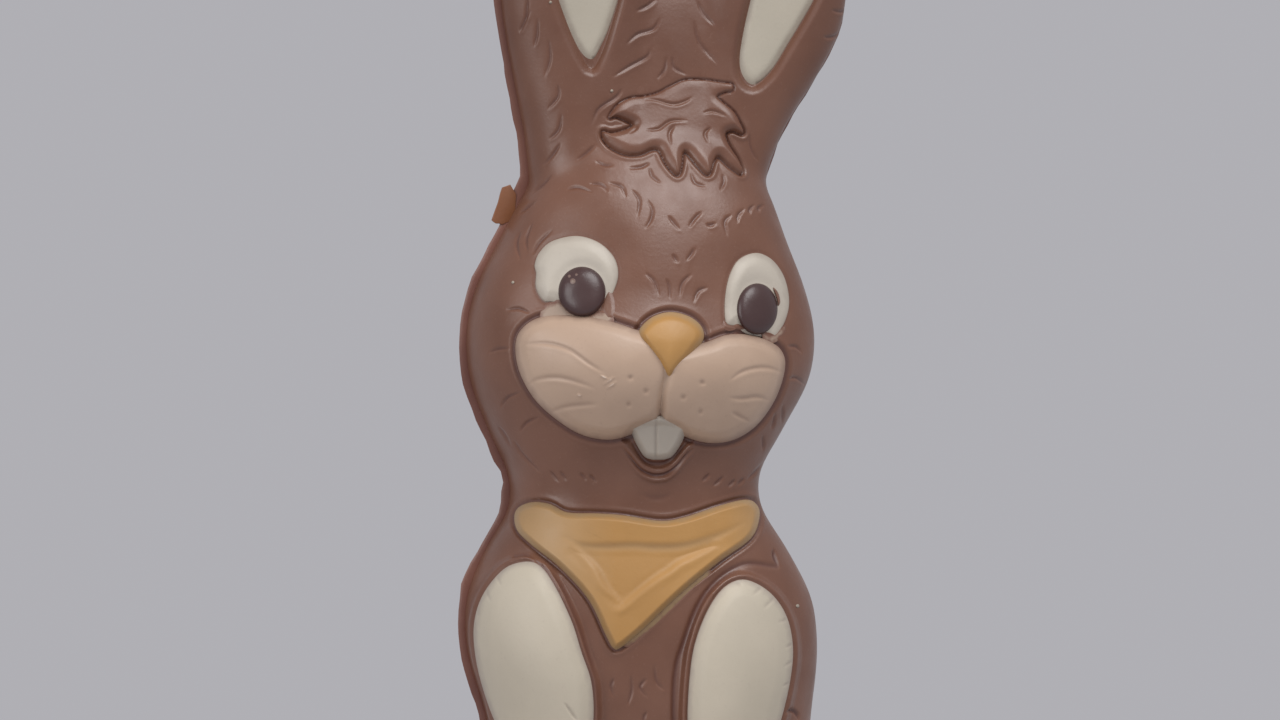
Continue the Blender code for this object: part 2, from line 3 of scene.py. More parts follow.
import bpy
import numpy as np
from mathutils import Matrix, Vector
from mathutils.bvhtree import BVHTree


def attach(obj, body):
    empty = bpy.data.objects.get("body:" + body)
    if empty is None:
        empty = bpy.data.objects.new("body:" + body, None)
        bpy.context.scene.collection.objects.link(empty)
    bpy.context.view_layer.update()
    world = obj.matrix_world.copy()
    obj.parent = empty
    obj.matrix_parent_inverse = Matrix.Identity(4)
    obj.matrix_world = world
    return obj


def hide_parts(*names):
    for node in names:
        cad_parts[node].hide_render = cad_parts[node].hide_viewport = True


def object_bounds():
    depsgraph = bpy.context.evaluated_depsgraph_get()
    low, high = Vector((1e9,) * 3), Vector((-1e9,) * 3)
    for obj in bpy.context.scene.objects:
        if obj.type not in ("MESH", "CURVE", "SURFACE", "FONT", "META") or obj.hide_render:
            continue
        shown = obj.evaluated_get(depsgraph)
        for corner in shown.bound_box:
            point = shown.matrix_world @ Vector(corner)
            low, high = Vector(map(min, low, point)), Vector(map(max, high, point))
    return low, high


# A moulded chocolate bunny. Lengths are in millimetres from the foot of the bunny's own axis, X to the
# viewer's right and its front towards -Y. Drawn places are (across, up), seen 15 degrees from the left.
MM = 0.001
VIEW_TURN = math.radians(15)
ACROSS = np.array([math.cos(VIEW_TURN), -math.sin(VIEW_TURN), 0.0])
TOWARDS = np.array([-math.sin(VIEW_TURN), -math.cos(VIEW_TURN), 0.0])
# Where the foot of the axis stands in the frame
AXIS_PLACE = np.array([-3.2528, 3.9199, 0.0])

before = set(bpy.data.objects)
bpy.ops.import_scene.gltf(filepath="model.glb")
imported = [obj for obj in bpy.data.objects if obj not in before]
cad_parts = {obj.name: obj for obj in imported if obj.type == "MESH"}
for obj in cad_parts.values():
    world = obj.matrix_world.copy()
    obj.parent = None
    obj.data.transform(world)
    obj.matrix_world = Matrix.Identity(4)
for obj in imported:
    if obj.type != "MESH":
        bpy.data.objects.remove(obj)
cad_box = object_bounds()

# How fine the body's meshes are
SKIN_STEP = 0.9
SKIN_SMOOTHING = 40
FRONT_TRIANGLES = 190000
BACK_TRIANGLES = 60000
SEAM_POINTS = 1200

# Depths, heights and sizes of the broad forms
EAR_HOLLOW_DEPTH = 1.8
EYE_SOCKET_DEPTH = 1.1
EYE_SOCKET_SIZE = (13.0, 12.0)
MUZZLE_HEIGHT = 3.4
MOUTH_DEPTH = 1.4
LEG_HEIGHT = 2.0
LEG_RIM = 2.0
PUPIL_HEIGHT = 2.3

# Every piece stays this far inside the measured box
BOX_MARGIN = 0.004

# Sections of the four main forms: height, left edge, right edge, front depth, back depth
TRUNK = [
    (0, -28.6, 31.0, 20.5, 19.5),
    (12, -30.0, 33.4, 23.0, 22.6),
    (24, -31.2, 34.3, 24.5, 24.2),
    (40, -35.6, 35.8, 24.6, 24.4),
    (48, -35.6, 34.8, 24.0, 23.6),
    (58, -31.8, 29.8, 22.0, 21.4),
    (68, -26.4, 23.9, 19.8, 18.6),
    (72, -26.6, 23.6, 20.2, 18.6),
    (82, -31.0, 28.5, 23.4, 21.2),
    (93, -35.0, 34.2, 25.8, 23.8),
    (101, -35.6, 35.1, 26.2, 24.2),
    (110, -33.8, 33.2, 25.0, 23.2),
    (120, -28.8, 29.4, 22.2, 20.0),
    (132, -22.6, 25.6, 17.4, 15.0),
    (146, -18.0, 22.0, 12.4, 10.5),
]
LEFT_EAR = [
    (124, -20.0, 1.0, 14.0, 12.6),
    (132, -22.6, 1.5, 12.4, 11.0),
    (140, -23.6, 2.5, 10.8, 9.6),
    (150, -25.6, 3.5, 9.6, 8.5),
    (160, -27.6, 4.3, 8.8, 7.8),
    (176, -29.6, 4.0, 8.2, 7.2),
    (205, -29.4, 1.2, 7.0, 6.2),
]
RIGHT_EAR = [
    (124, 2.0, 23.0, 14.0, 12.6),
    (132, 3.5, 25.6, 12.4, 11.0),
    (142, 5.5, 29.8, 10.6, 9.5),
    (154, 7.6, 37.6, 9.6, 8.5),
    (162, 8.8, 41.8, 8.8, 7.8),
    (174, 12.0, 43.6, 8.2, 7.2),
    (203, 19.5, 42.4, 7.0, 6.2),
]
WEB = [
    (124, -12.0, 20.0, 16.0, 13.0),
    (146, -11.0, 21.0, 9.4, 8.0),
    (162, -7.0, 18.0, 7.4, 6.6),
    (176, 0.0, 16.0, 6.6, 6.0),
]

# Outlines of the coloured pieces, as drawn
LEFT_INNER_EAR = [
    (-9.3, 155.9), (-7.6, 158.2), (-5.2, 163.9), (-2.6, 174.0), (-2.6, 184.0), (-5.6, 192.5),
    (-11.6, 197.4), (-16.2, 192.5), (-18.0, 184.0), (-17.6, 174.6), (-15.0, 165.4), (-11.8, 158.0),
]
RIGHT_INNER_EAR = [
    (22.8, 151.0), (26.4, 153.6), (30.2, 159.6), (35.0, 167.8), (38.6, 176.4), (38.6, 186.0),
    (35.6, 192.6), (33.2, 195.4), (30.6, 191.0), (27.2, 183.0), (24.0, 173.6), (21.0, 161.2),
    (20.4, 154.4),
]
TUFT = [
    (18.8, 151.0), (16.9, 151.3), (13.5, 151.8), (9.6, 151.8), (6.7, 150.6), (3.8, 149.1), (0.9, 148.4),
    (-1.5, 148.1), (-4.0, 146.7), (-5.7, 144.2), (-4.5, 144.5), (-2.5, 143.8), (-1.0, 142.8),
    (-2.5, 141.8), (-5.2, 141.1), (-7.0, 141.4), (-6.8, 139.9), (-5.2, 138.2), (-2.5, 137.0),
    (0.4, 137.0), (2.8, 138.0), (4.3, 137.7), (5.7, 135.0), (7.8, 132.8), (8.6, 134.6), (8.9, 137.0),
    (9.8, 137.2), (12.0, 134.6), (14.0, 132.9), (15.0, 135.5), (16.1, 136.5), (18.3, 134.6),
    (20.7, 133.1), (19.8, 136.0), (18.3, 138.4), (17.4, 140.9), (18.8, 141.8), (21.0, 141.1),
    (20.3, 143.3), (19.1, 145.5), (16.9, 147.4), (15.7, 148.6), (17.4, 149.6), (18.8, 149.8),
]
LEFT_EYE = [
    (-12.2, 120.6), (-7.8, 119.3), (-4.8, 116.4), (-3.9, 113.1), (-4.6, 110.1), (-5.9, 107.5),
    (-7.0, 106.4), (-9.6, 105.6), (-13.0, 106.4), (-17.0, 107.5), (-18.5, 107.6), (-19.7, 109.0),
    (-20.3, 110.8), (-20.2, 113.2), (-20.5, 114.9), (-19.5, 117.4), (-17.0, 119.6),
]
RIGHT_EYE = [
    (23.4, 117.3), (26.4, 116.2), (28.6, 113.6), (29.7, 110.7), (30.1, 107.4), (29.5, 104.4),
    (28.2, 101.8), (26.6, 100.6), (22.0, 101.0), (19.4, 102.6), (17.7, 103.1), (17.2, 104.8),
    (17.3, 108.8), (18.2, 112.9), (20.1, 116.0),
]
LEFT_PUPIL = {"centre": (-11.1, 109.6), "half_size": (4.75, 5.0)}
RIGHT_PUPIL = {"centre": (23.7, 106.2), "half_size": (4.15, 5.15)}
LEFT_CHEEK = [
    (6.2, 99.6), (-1.0, 102.2), (-5.2, 103.6), (-10.0, 104.6), (-16.2, 104.9), (-20.6, 104.0),
    (-23.6, 101.4), (-24.3, 98.0), (-23.4, 93.4), (-20.6, 88.4), (-16.4, 84.4), (-11.2, 81.2),
    (-5.8, 80.2), (-1.4, 81.2), (2.2, 82.8), (4.4, 84.4), (6.3, 88.0), (7.4, 93.4),
]
RIGHT_CHEEK = [
    (4.4, 96.8), (13.6, 99.6), (17.6, 101.0), (22.0, 101.0), (26.4, 99.6), (28.8, 97.4), (29.2, 94.0),
    (27.4, 88.4), (23.8, 83.2), (19.2, 80.2), (14.4, 79.5), (9.8, 80.6), (6.6, 82.4), (4.3, 84.4),
    (3.0, 88.0), (3.0, 92.0),
]
MUZZLE_SWELL = {"centre": (2.6, 92.6), "half_size": (33.0, 18.5)}
NOSE = [
    (6.5, 105.5), (3.0, 104.6), (0.5, 102.4), (0.1, 100.5), (1.4, 98.2), (3.5, 95.5), (6.2, 92.0),
    (9.1, 94.9), (11.4, 97.6), (13.0, 100.2), (12.6, 102.6), (10.2, 104.6),
]
TEETH = [
    (-1.3, 83.0), (-1.0, 80.9), (0.1, 78.5), (1.3, 76.8), (2.6, 76.3), (4.0, 76.2), (5.5, 76.3),
    (6.7, 76.8), (8.0, 78.4), (9.1, 80.6), (9.4, 83.0), (4.2, 85.0),
]
MOUTH = [
    (-3.4, 80.6), (-1.6, 77.8), (0.8, 74.6), (4.0, 73.4), (7.2, 74.6), (9.6, 77.6), (11.4, 80.2),
    (8.0, 84.0), (0.0, 84.0),
]
BANDANA = [
    (-24.6, 65.0), (-23.6, 66.8), (-20.8, 67.8), (-17.4, 67.4), (-14.0, 65.8), (-8.0, 65.6), (-2.8, 65.2),
    (4.6, 64.1), (9.6, 64.9), (16.0, 67.0), (21.4, 68.2), (23.8, 67.0), (24.2, 64.4), (22.4, 60.4),
    (16.0, 55.8), (8.4, 49.6), (1.0, 42.6), (-3.2, 39.2), (-4.8, 38.9), (-6.4, 41.6), (-9.8, 48.6),
    (-15.4, 54.8), (-21.2, 59.4), (-24.0, 62.2),
]
BANDANA_PANEL = [
    (-13.4, 58.6), (-1.0, 59.0), (8.0, 58.8), (15.4, 59.2), (8.0, 55.0), (-3.4, 47.2), (-8.0, 53.0),
]
LEFT_SOLE = [
    (-22.8, 56.0), (-26.8, 54.4), (-30.8, 49.4), (-32.6, 43.4), (-32.2, 36.4), (-30.4, 29.2),
    (-27.8, 22.6), (-24.6, 16.4), (-21.0, 11.6), (-16.8, 9.2), (-12.8, 11.4), (-10.0, 17.4), (-8.8, 25.0),
    (-9.2, 32.2), (-11.2, 38.4), (-13.2, 44.6), (-16.6, 51.6), (-19.6, 55.4),
]
RIGHT_SOLE = [
    (21.2, 52.4), (17.2, 51.0), (14.0, 46.8), (11.6, 41.0), (10.4, 35.0), (9.8, 25.0), (10.6, 16.8),
    (13.2, 11.0), (17.0, 8.8), (21.6, 10.4), (25.6, 15.8), (28.6, 25.0), (30.4, 33.0), (30.8, 39.4),
    (29.4, 45.4), (26.0, 50.0),
]

# The hollows of the ears run a little below the coloured chocolate
LEFT_HOLLOW = [
    (-9.2, 153.6), (-7.0, 156.8), (-4.7, 163.7), (-2.1, 174.0), (-2.1, 184.0), (-5.1, 192.8),
    (-11.6, 198.2), (-16.7, 192.8), (-18.5, 184.0), (-18.1, 174.6), (-15.5, 165.4), (-11.6, 156.4),
]
RIGHT_HOLLOW = [
    (22.8, 150.2), (26.8, 153.2), (30.7, 159.4), (35.5, 167.6), (39.1, 176.4), (39.1, 186.2),
    (36.0, 193.2), (33.2, 196.2), (30.2, 191.4), (26.7, 183.2), (23.5, 173.8), (20.5, 161.4),
    (19.9, 153.4),
]

# Strokes of fur pressed into the mould
FUR = [
    [(-20.3, 127.8), (-22.2, 126.3), (-23.7, 125.1)], [(-21.9, 168.0), (-22.1, 165.8), (-22.4, 163.6)],
    [(-20.0, 164.1), (-20.1, 160.7), (-20.7, 158.3)], [(-17.8, 159.8), (-17.5, 155.9), (-18.6, 152.4)],
    [(-16.0, 150.8), (-15.9, 148.4), (-18.1, 145.8)], [(-15.2, 145.0), (-15.8, 141.8), (-17.8, 139.8)],
    [(-15.4, 139.2), (-16.8, 137.0), (-19.0, 134.6)], [(-17.1, 132.9), (-19.0, 130.9), (-21.3, 129.2)],
    [(-21.4, 165.8), (-22.9, 162.7), (-23.6, 161.2)], [(3.7, 168.2), (1.8, 166.6), (-0.6, 165.5)],
    [(4.4, 164.4), (3.1, 162.1), (-0.1, 160.9), (-2.5, 158.8)],
    [(2.4, 158.2), (1.8, 156.5), (-1.5, 154.6), (-5.4, 152.2)],
    [(-3.1, 150.1), (-4.4, 148.3), (-7.8, 145.9), (-9.2, 142.7)], [(5.7, 156.6), (5.3, 153.9), (3.8, 152.0)],
    [(6.7, 156.6), (7.3, 154.3), (9.7, 152.9)], [(11.7, 168.0), (13.2, 165.1), (15.4, 162.6)],
    [(11.2, 163.9), (12.4, 159.3), (16.1, 154.8)], [(38.7, 166.1), (40.7, 165.8), (43.0, 166.4)],
    [(37.1, 160.7), (38.8, 160.7), (41.1, 161.7)], [(22.1, 140.9), (22.8, 137.9), (24.1, 135.4)],
    [(-8.3, 138.9), (-10.2, 137.2), (-12.3, 135.6)], [(-8.4, 135.6), (-6.9, 134.8), (-4.8, 134.7)],
    [(-2.0, 134.2), (0.5, 134.4), (2.4, 135.3)], [(2.3, 134.3), (2.9, 132.5), (4.6, 131.1)],
    [(10.5, 133.3), (11.5, 131.2), (13.6, 130.6)], [(16.8, 133.1), (17.2, 131.6), (16.3, 129.7)],
    [(-14.2, 129.8), (-12.1, 130.3), (-9.0, 129.2)], [(-9.8, 131.1), (-7.3, 130.8), (-5.9, 129.3)],
    [(-5.9, 131.3), (-3.4, 130.4), (-2.2, 128.0)], [(-1.3, 129.9), (0.3, 127.6), (-0.1, 124.3)],
    [(1.9, 127.9), (2.9, 125.6), (2.5, 123.7), (1.3, 121.9)], [(6.0, 124.7), (7.1, 123.2), (8.4, 121.7)],
    [(12.8, 125.6), (11.3, 124.1), (10.0, 122.2)], [(11.3, 118.3), (10.6, 117.0), (9.5, 115.7)],
    [(6.8, 117.1), (7.5, 116.0), (8.0, 115.2)], [(18.6, 125.0), (17.3, 123.4), (17.8, 120.5)],
    [(21.3, 126.3), (20.0, 124.8), (19.8, 123.2)], [(23.3, 127.0), (22.3, 126.0), (22.3, 124.9)],
    [(25.2, 127.0), (24.1, 126.3), (24.2, 125.3)], [(15.5, 123.3), (14.5, 122.8), (13.5, 123.0)],
    [(1.4, 113.4), (3.2, 111.5), (4.4, 108.4)], [(5.6, 112.2), (6.3, 110.3), (6.4, 107.9)],
    [(10.7, 113.2), (8.8, 111.2), (8.3, 108.5)], [(13.9, 110.5), (12.0, 109.6), (11.0, 107.4)],
    [(-23.4, 121.6), (-24.1, 119.1), (-23.3, 115.5)], [(-21.0, 123.4), (-22.2, 120.1), (-21.9, 117.2)],
    [(-16.9, 121.9), (-19.5, 119.4), (-21.0, 116.9)], [(-26.2, 105.9), (-23.8, 106.2), (-21.3, 105.3)],
    [(-29.8, 97.5), (-27.7, 98.2), (-25.4, 98.3)], [(-27.3, 86.6), (-25.9, 88.5), (-23.1, 89.7)],
    [(-23.5, 81.7), (-22.1, 83.5), (-19.4, 84.7)], [(-27.8, 82.9), (-26.4, 80.9), (-25.2, 78.7)],
    [(-24.7, 80.0), (-22.7, 76.9), (-18.9, 73.2)], [(29.6, 98.7), (31.5, 98.6), (32.8, 97.2)],
    [(29.9, 92.2), (31.6, 92.4), (33.9, 90.5)], [(28.8, 87.2), (28.9, 85.2), (28.7, 83.2)],
    [(27.3, 85.6), (27.1, 83.8), (26.6, 82.2)], [(24.8, 81.1), (25.0, 79.4), (24.9, 77.9)],
    [(27.4, 77.2), (26.3, 75.4), (24.8, 73.2)], [(25.0, 75.6), (23.6, 73.8), (21.6, 72.0)],
    [(-17.6, 74.1), (-16.7, 73.0), (-15.6, 71.7)], [(-15.5, 74.0), (-14.8, 73.0), (-14.1, 72.0)],
    [(-11.6, 73.7), (-10.9, 72.9), (-10.2, 72.0)], [(-9.7, 73.3), (-8.9, 72.5), (-8.2, 71.6)],
    [(14.3, 73.5), (13.6, 72.7), (12.6, 71.8)], [(17.0, 73.0), (16.1, 71.9), (14.8, 70.9)],
    [(19.4, 72.2), (18.7, 71.5), (17.7, 70.6)], [(21.1, 72.5), (20.6, 71.8), (19.7, 71.1)],
    [(-1.5, 33.5), (-1.2, 30.6), (-2.1, 27.4)], [(1.8, 33.0), (0.5, 31.2), (2.0, 28.9)],
    [(3.2, 35.7), (3.7, 32.4), (5.2, 30.4)], [(-4.8, 33.1), (-5.3, 31.3), (-4.8, 29.1)],
    [(1.8, 26.5), (1.2, 24.9), (1.4, 22.2)],
]
TUFT_STROKES = [
    [(0.8, 147.9), (3.3, 147.7), (6.7, 146.8), (9.1, 147.4), (10.8, 148.5)],
    [(1.2, 141.1), (3.8, 141.4), (6.2, 143.2), (9.6, 143.4)], [(12.6, 145.0), (14.9, 145.4), (17.5, 144.5)],
    [(7.0, 142.4), (6.0, 140.4), (6.3, 137.9)], [(14.3, 142.1), (13.0, 140.6), (13.5, 138.3)],
    [(-1.0, 142.8), (-0.6, 141.6), (-2.0, 140.4)],
]
WHISKERS = [
    [(-23.3, 99.1), (-18.0, 99.3), (-13.7, 98.1), (-9.8, 95.4), (-6.5, 93.4)],
    [(-22.0, 90.9), (-20.0, 92.2), (-16.1, 92.6), (-12.2, 91.8), (-8.2, 90.3)],
    [(-18.1, 85.4), (-14.6, 86.7), (-10.8, 87.2), (-7.9, 87.3)],
    [(18.1, 91.9), (20.3, 93.5), (23.2, 94.4), (26.1, 94.4), (29.2, 93.4)],
    [(17.9, 88.5), (20.7, 88.4), (23.7, 88.7), (26.3, 88.0)], [(18.4, 85.8), (20.1, 84.9), (22.4, 83.7)],
]
PHILTRUM = [(6.1, 93.4), (5.0, 90.0), (4.6, 87.0), (4.3, 84.2)]
SCRATCHES = [
    [(-6.9, 91.0), (-4.5, 92.8)], [(-6.4, 90.2), (-4.1, 91.8)], [(-7.5, 93.0), (-5.9, 92.2)],
    [(-12.2, 89.2), (-11.0, 88.8)],
]
FRECKLES = [(-1.5, 92.5), (1.6, 89.8), (-1.8, 87.2), (12.7, 91.5), (9.0, 88.6), (12.4, 85.7)]
LIP = [
    (-3.2, 78.8), (-1.6, 76.8), (0.4, 74.4), (2.4, 73.3), (3.8, 73.1), (5.6, 73.4), (7.6, 74.8),
    (9.6, 77.2), (11.4, 78.8),
]
INNER_LIP = [(-1.2, 80.2), (0.2, 77.6), (1.9, 75.8), (3.8, 75.4), (5.8, 75.8), (7.8, 77.6), (9.6, 79.8)]
CHIN = [(0.4, 69.4), (3.8, 68.6), (7.2, 69.4)]
BANDANA_FOLD = [
    (-14.4, 60.9), (-10.7, 59.2), (-6.4, 58.9), (-1.0, 59.1), (3.3, 58.8), (8.6, 59.0), (14.0, 60.4),
    (17.2, 61.7), (20.9, 63.5),
]
LEFT_HEM = [(-13.4, 58.9), (-11.0, 57.0), (-8.8, 54.5), (-7.1, 51.2), (-4.1, 48.4)]
RIGHT_HEM = [
    (15.2, 58.6), (11.4, 56.6), (8.4, 55.2), (6.4, 53.7), (4.2, 52.4), (1.2, 50.2), (-1.4, 48.0),
    (-3.4, 46.3),
]
LEFT_LEG_CREASE = [
    (-24.4, 57.1), (-22.3, 57.3), (-20.1, 56.5), (-17.5, 54.4), (-15.1, 51.2), (-13.2, 47.2),
    (-11.9, 44.0), (-10.5, 40.0), (-9.2, 36.0), (-8.4, 32.0), (-7.9, 28.6), (-8.0, 22.0), (-9.6, 15.0),
    (-13.0, 9.0),
]
RIGHT_LEG_CREASE = [
    (27.7, 54.9), (22.4, 55.6), (19.2, 54.7), (16.0, 52.5), (13.1, 49.3), (10.9, 45.1), (9.1, 40.0),
    (7.8, 36.0), (7.2, 31.2), (7.2, 24.0), (8.4, 15.0), (12.0, 8.6),
]
LEG_RIDGES = [
    [(16.5, 54.9), (10.9, 50.9), (6.4, 47.2)], [(16.5, 51.2), (13.9, 48.5), (12.5, 45.6), (10.9, 41.9)],
    [(-24.4, 56.5), (-22.3, 56.8), (-20.1, 55.7), (-18.5, 53.3), (-17.5, 51.5)],
]
SLEEVE_CREASES = [
    [(27.0, 58.4), (27.3, 56.8), (28.0, 55.0)], [(29.2, 25.6), (30.4, 26.3), (31.6, 25.6), (32.0, 24.2)],
]
LEFT_SOLE_NICKS = [
    [(-28.4, 53.9), (-27.2, 51.5)], [(-30.3, 50.6), (-29.2, 48.3)], [(-32.3, 47.2), (-31.5, 45.1)],
    [(-33.0, 43.7), (-32.0, 41.6)], [(-32.8, 40.0), (-31.8, 37.9)], [(-14.3, 28.0), (-12.1, 24.8)],
]
RIGHT_SOLE_NICKS = [
    [(19.0, 52.4), (20.5, 51.2)], [(24.9, 51.0), (22.9, 49.6)], [(27.2, 48.8), (25.1, 46.9)],
    [(29.9, 44.4), (27.9, 44.0)], [(31.0, 39.6), (29.4, 38.9)], [(30.8, 36.2), (29.2, 35.2)],
    [(30.2, 31.9), (28.9, 31.2)],
]


# Drawing
def smooth_step(value):
    share = np.clip(value, 0.0, 1.0)
    return share * share * (3.0 - 2.0 * share)


def curve_through(positions, values, at):
    """The smooth curve through the sections, read at each height."""
    slopes = np.gradient(values, positions)
    i = np.clip(np.searchsorted(positions, at) - 1, 0, len(positions) - 2)
    step = positions[i + 1] - positions[i]
    t = np.clip((at - positions[i]) / step, 0.0, 1.0)
    return (
        values[i] * (1 + 2 * t) * (1 - t) ** 2
        + slopes[i] * step * t * (1 - t) ** 2
        + values[i + 1] * t * t * (3 - 2 * t)
        + slopes[i + 1] * step * t * t * (t - 1)
    )


def smooth_line(points, closed=False, pieces=8):
    """A smooth curve through the drawn points."""
    knots = np.array(points, float)
    if not closed:
        knots = np.vstack([2 * knots[0] - knots[1], knots, 2 * knots[-1] - knots[-2]])
        quads = zip(knots[:-3], knots[1:-2], knots[2:-1], knots[3:])
    else:
        quads = zip(np.roll(knots, 1, axis=0), knots, np.roll(knots, -1, axis=0), np.roll(knots, -2, axis=0))
    t = np.linspace(0, 1, pieces + 1)[:-1, None]
    line = [
        0.5 * (2 * b + (c - a) * t + (2 * a - 5 * b + 4 * c - d) * t**2 + (3 * b - a - 3 * c + d) * t**3)
        for a, b, c, d in quads
    ]
    if not closed:
        line.append(knots[-2:-1])
    return np.concatenate(line)


def evenly_spaced(loop, count):
    """count points, evenly spaced along the closed loop."""
    closed = np.vstack([loop, loop[:1]])
    run = np.concatenate([[0], np.cumsum(np.linalg.norm(np.diff(closed, axis=0), axis=1))])
    at = np.linspace(0, run[-1], count, endpoint=False)
    return np.column_stack([np.interp(at, run, closed[:, k]) for k in range(2)])


def closed_outline(points, count):
    """count points on the smooth closed curve through the drawn points."""
    return evenly_spaced(smooth_line(points, closed=True), count)


def oval(centre, half_size, count):
    turn = np.linspace(0, 2 * math.pi, count, endpoint=False)
    (x, y), (w, h) = centre, half_size
    return np.column_stack([x + w * np.cos(turn), y + h * np.sin(turn)])


def moved(line, by_across, by_up):
    return [(across + by_across, up + by_up) for across, up in line]


def grown(outline, by):
    """The outline moved outwards along its normals."""
    ahead, behind = np.roll(outline, -1, axis=0), np.roll(outline, 1, axis=0)
    along = ahead - behind
    area = np.sum(outline[:, 0] * ahead[:, 1] - ahead[:, 0] * outline[:, 1])
    normal = np.column_stack([along[:, 1], -along[:, 0]])
    normal /= np.linalg.norm(normal, axis=1)[:, None]
    return outline + normal * by * np.sign(area)


def near_line(line, across, up, reach):
    """Which places lie in the line's box, made larger by reach."""
    low, high = line.min(axis=0) - reach, line.max(axis=0) + reach
    return (across > low[0]) & (across < high[0]) & (up > low[1]) & (up < high[1])


def inside_distance(outline, across, up, reach=6.0):
    """Distance from the outline, positive inside it and negative outside, no further out than reach."""
    result = np.full(len(across), -reach)
    near = near_line(outline, across, up, reach)
    a, u = across[near], up[near]
    nearest = np.full(len(a), np.inf)
    within = np.zeros(len(a), bool)
    for (x0, y0), (x1, y1) in zip(outline, np.roll(outline, -1, axis=0)):
        dx, dy = x1 - x0, y1 - y0
        share = np.clip(((a - x0) * dx + (u - y0) * dy) / (dx * dx + dy * dy), 0, 1)
        nearest = np.minimum(nearest, (a - x0 - share * dx) ** 2 + (u - y0 - share * dy) ** 2)
        if dy:
            within ^= ((u < y0) != (u < y1)) & (a < x0 + (u - y0) * dx / dy)
    nearest = np.sqrt(nearest)
    result[near] = np.where(within, nearest, np.maximum(-nearest, -reach))
    return result


def stroke(points, across, up, width, taper=1.0):
    """A soft line, 1 along its middle, thinning towards its ends. taper below 1 keeps the ends blunt."""
    line = smooth_line(points)
    result = np.zeros(len(across))
    near = near_line(line, across, up, 3 * width)
    a, u = across[near], up[near]
    if not len(a):
        return result
    nearest = np.full(len(a), np.inf)
    along = np.zeros(len(a))
    for k, ((x0, y0), (x1, y1)) in enumerate(zip(line[:-1], line[1:])):
        dx, dy = x1 - x0, y1 - y0
        share = np.clip(((a - x0) * dx + (u - y0) * dy) / (dx * dx + dy * dy), 0, 1)
        away = (a - x0 - share * dx) ** 2 + (u - y0 - share * dy) ** 2
        closer = away < nearest
        nearest = np.where(closer, away, nearest)
        along = np.where(closer, (k + share) / (len(line) - 1), along)
    body = 1 - taper * (np.abs(2 * along - 1) ** 2.5)
    thin = width * (0.45 + 0.55 * body)
    result[near] = body * np.exp(-nearest / thin**2)
    return result


def rounded(inwards, width):
    """A soft round edge: 0 at the outline, 1 from width inwards."""
    share = np.clip(inwards / width, 0, 1)
    return 0.5 * np.sqrt(1 - (1 - share) ** 2) + 0.5 * smooth_step(share)


def follow(inwards, offset, width):
    """A soft line that follows an outline, offset outside it."""
    return np.exp(-(((inwards + offset) / width) ** 2))


# Mesh work
def only(item):
    """Makes the item the one selected, active object."""
    bpy.ops.object.select_all(action="DESELECT")
    item.select_set(True)
    bpy.context.view_layer.objects.active = item


def points_of(item):
    flat = np.empty(len(item.data.vertices) * 3)
    item.data.vertices.foreach_get("co", flat)
    return flat.reshape(-1, 3) / MM


def set_points(item, points):
    item.data.vertices.foreach_set("co", (points * MM).ravel())
    item.data.update()


def outward_of(item):
    flat = np.empty(len(item.data.vertices) * 3)
    item.data.vertex_normals.foreach_get("vector", flat)
    return flat.reshape(-1, 3)


def keep_mark(item, name, values):
    """Keeps a value on each of the item's points, for its finish to read."""
    item.data.attributes.new(name, "FLOAT", "POINT").data.foreach_set("value", values)


def finish_modifier(item, kind, **settings):
    """Adds a modifier with these settings and applies it."""
    only(item)
    modifier = item.modifiers.new(kind.lower(), kind)
    for name, value in settings.items():
        setattr(modifier, name, value)
    bpy.ops.object.modifier_apply(modifier=modifier.name)


def new_piece(name):
    """The primitive just added, under its own name."""
    item = bpy.context.object
    item.name = name
    item.data.name = name
    return item


def copy_of(item, name):
    made = item.copy()
    made.data = item.data.copy()
    made.name = name
    made.data.name = name
    bpy.context.collection.objects.link(made)
    return made


def cut_off(item, direction, fill=True):
    """Cuts the item on a plane through the axis's foot, and removes what lies on the direction's side."""
    only(item)
    bpy.ops.object.mode_set(mode="EDIT")
    bpy.ops.mesh.select_all(action="SELECT")
    bpy.ops.mesh.bisect(
        plane_co=(0, 0, 0), plane_no=direction, clear_outer=True, use_fill=fill, threshold=1e-6
    )
    bpy.ops.object.mode_set(mode="OBJECT")


def close_rim():
    """Fills the open rim of the mesh in edit mode with one face."""
    bpy.ops.mesh.select_all(action="DESELECT")
    bpy.ops.mesh.select_non_manifold()
    bpy.ops.mesh.edge_face_add()


def turn_outwards():
    """Turns every face of the mesh in edit mode outwards."""
    bpy.ops.mesh.select_all(action="SELECT")
    bpy.ops.mesh.normals_make_consistent(inside=False)


def stacked_form(name, sections, low_cap, high_cap, fullness):
    """A ball drawn out through its sections. Each cap is (where the rounding starts, where it ends)."""
    bpy.ops.object.select_all(action="DESELECT")
    bpy.ops.mesh.primitive_uv_sphere_add(segments=96, ring_count=120, radius=MM)
    item = new_piece(name)
    unit = points_of(item)
    turn = np.arctan2(unit[:, 1], unit[:, 0])
    height = low_cap[1] + (high_cap[1] - low_cap[1]) * (unit[:, 2] + 1) / 2
    heights, left, right, front, back = np.array(sections, float).T
    left, right, front, back = (curve_through(heights, side, height) for side in (left, right, front, back))
    cap = np.ones(len(height))
    for start, end in (low_cap, high_cap):
        share = np.clip((height - start) / (end - start), 0, 1)
        cap *= (1 - share**2) ** 0.55
    wide = np.sign(np.cos(turn)) * np.abs(np.cos(turn)) ** (2 / fullness)
    deep = np.sign(np.sin(turn)) * np.abs(np.sin(turn)) ** (2 / fullness)
    across = (left + right) / 2 + (right - left) / 2 * cap * wide
    set_points(item, np.column_stack([across, np.where(deep < 0, front, back) * cap * deep, height]))
    return item


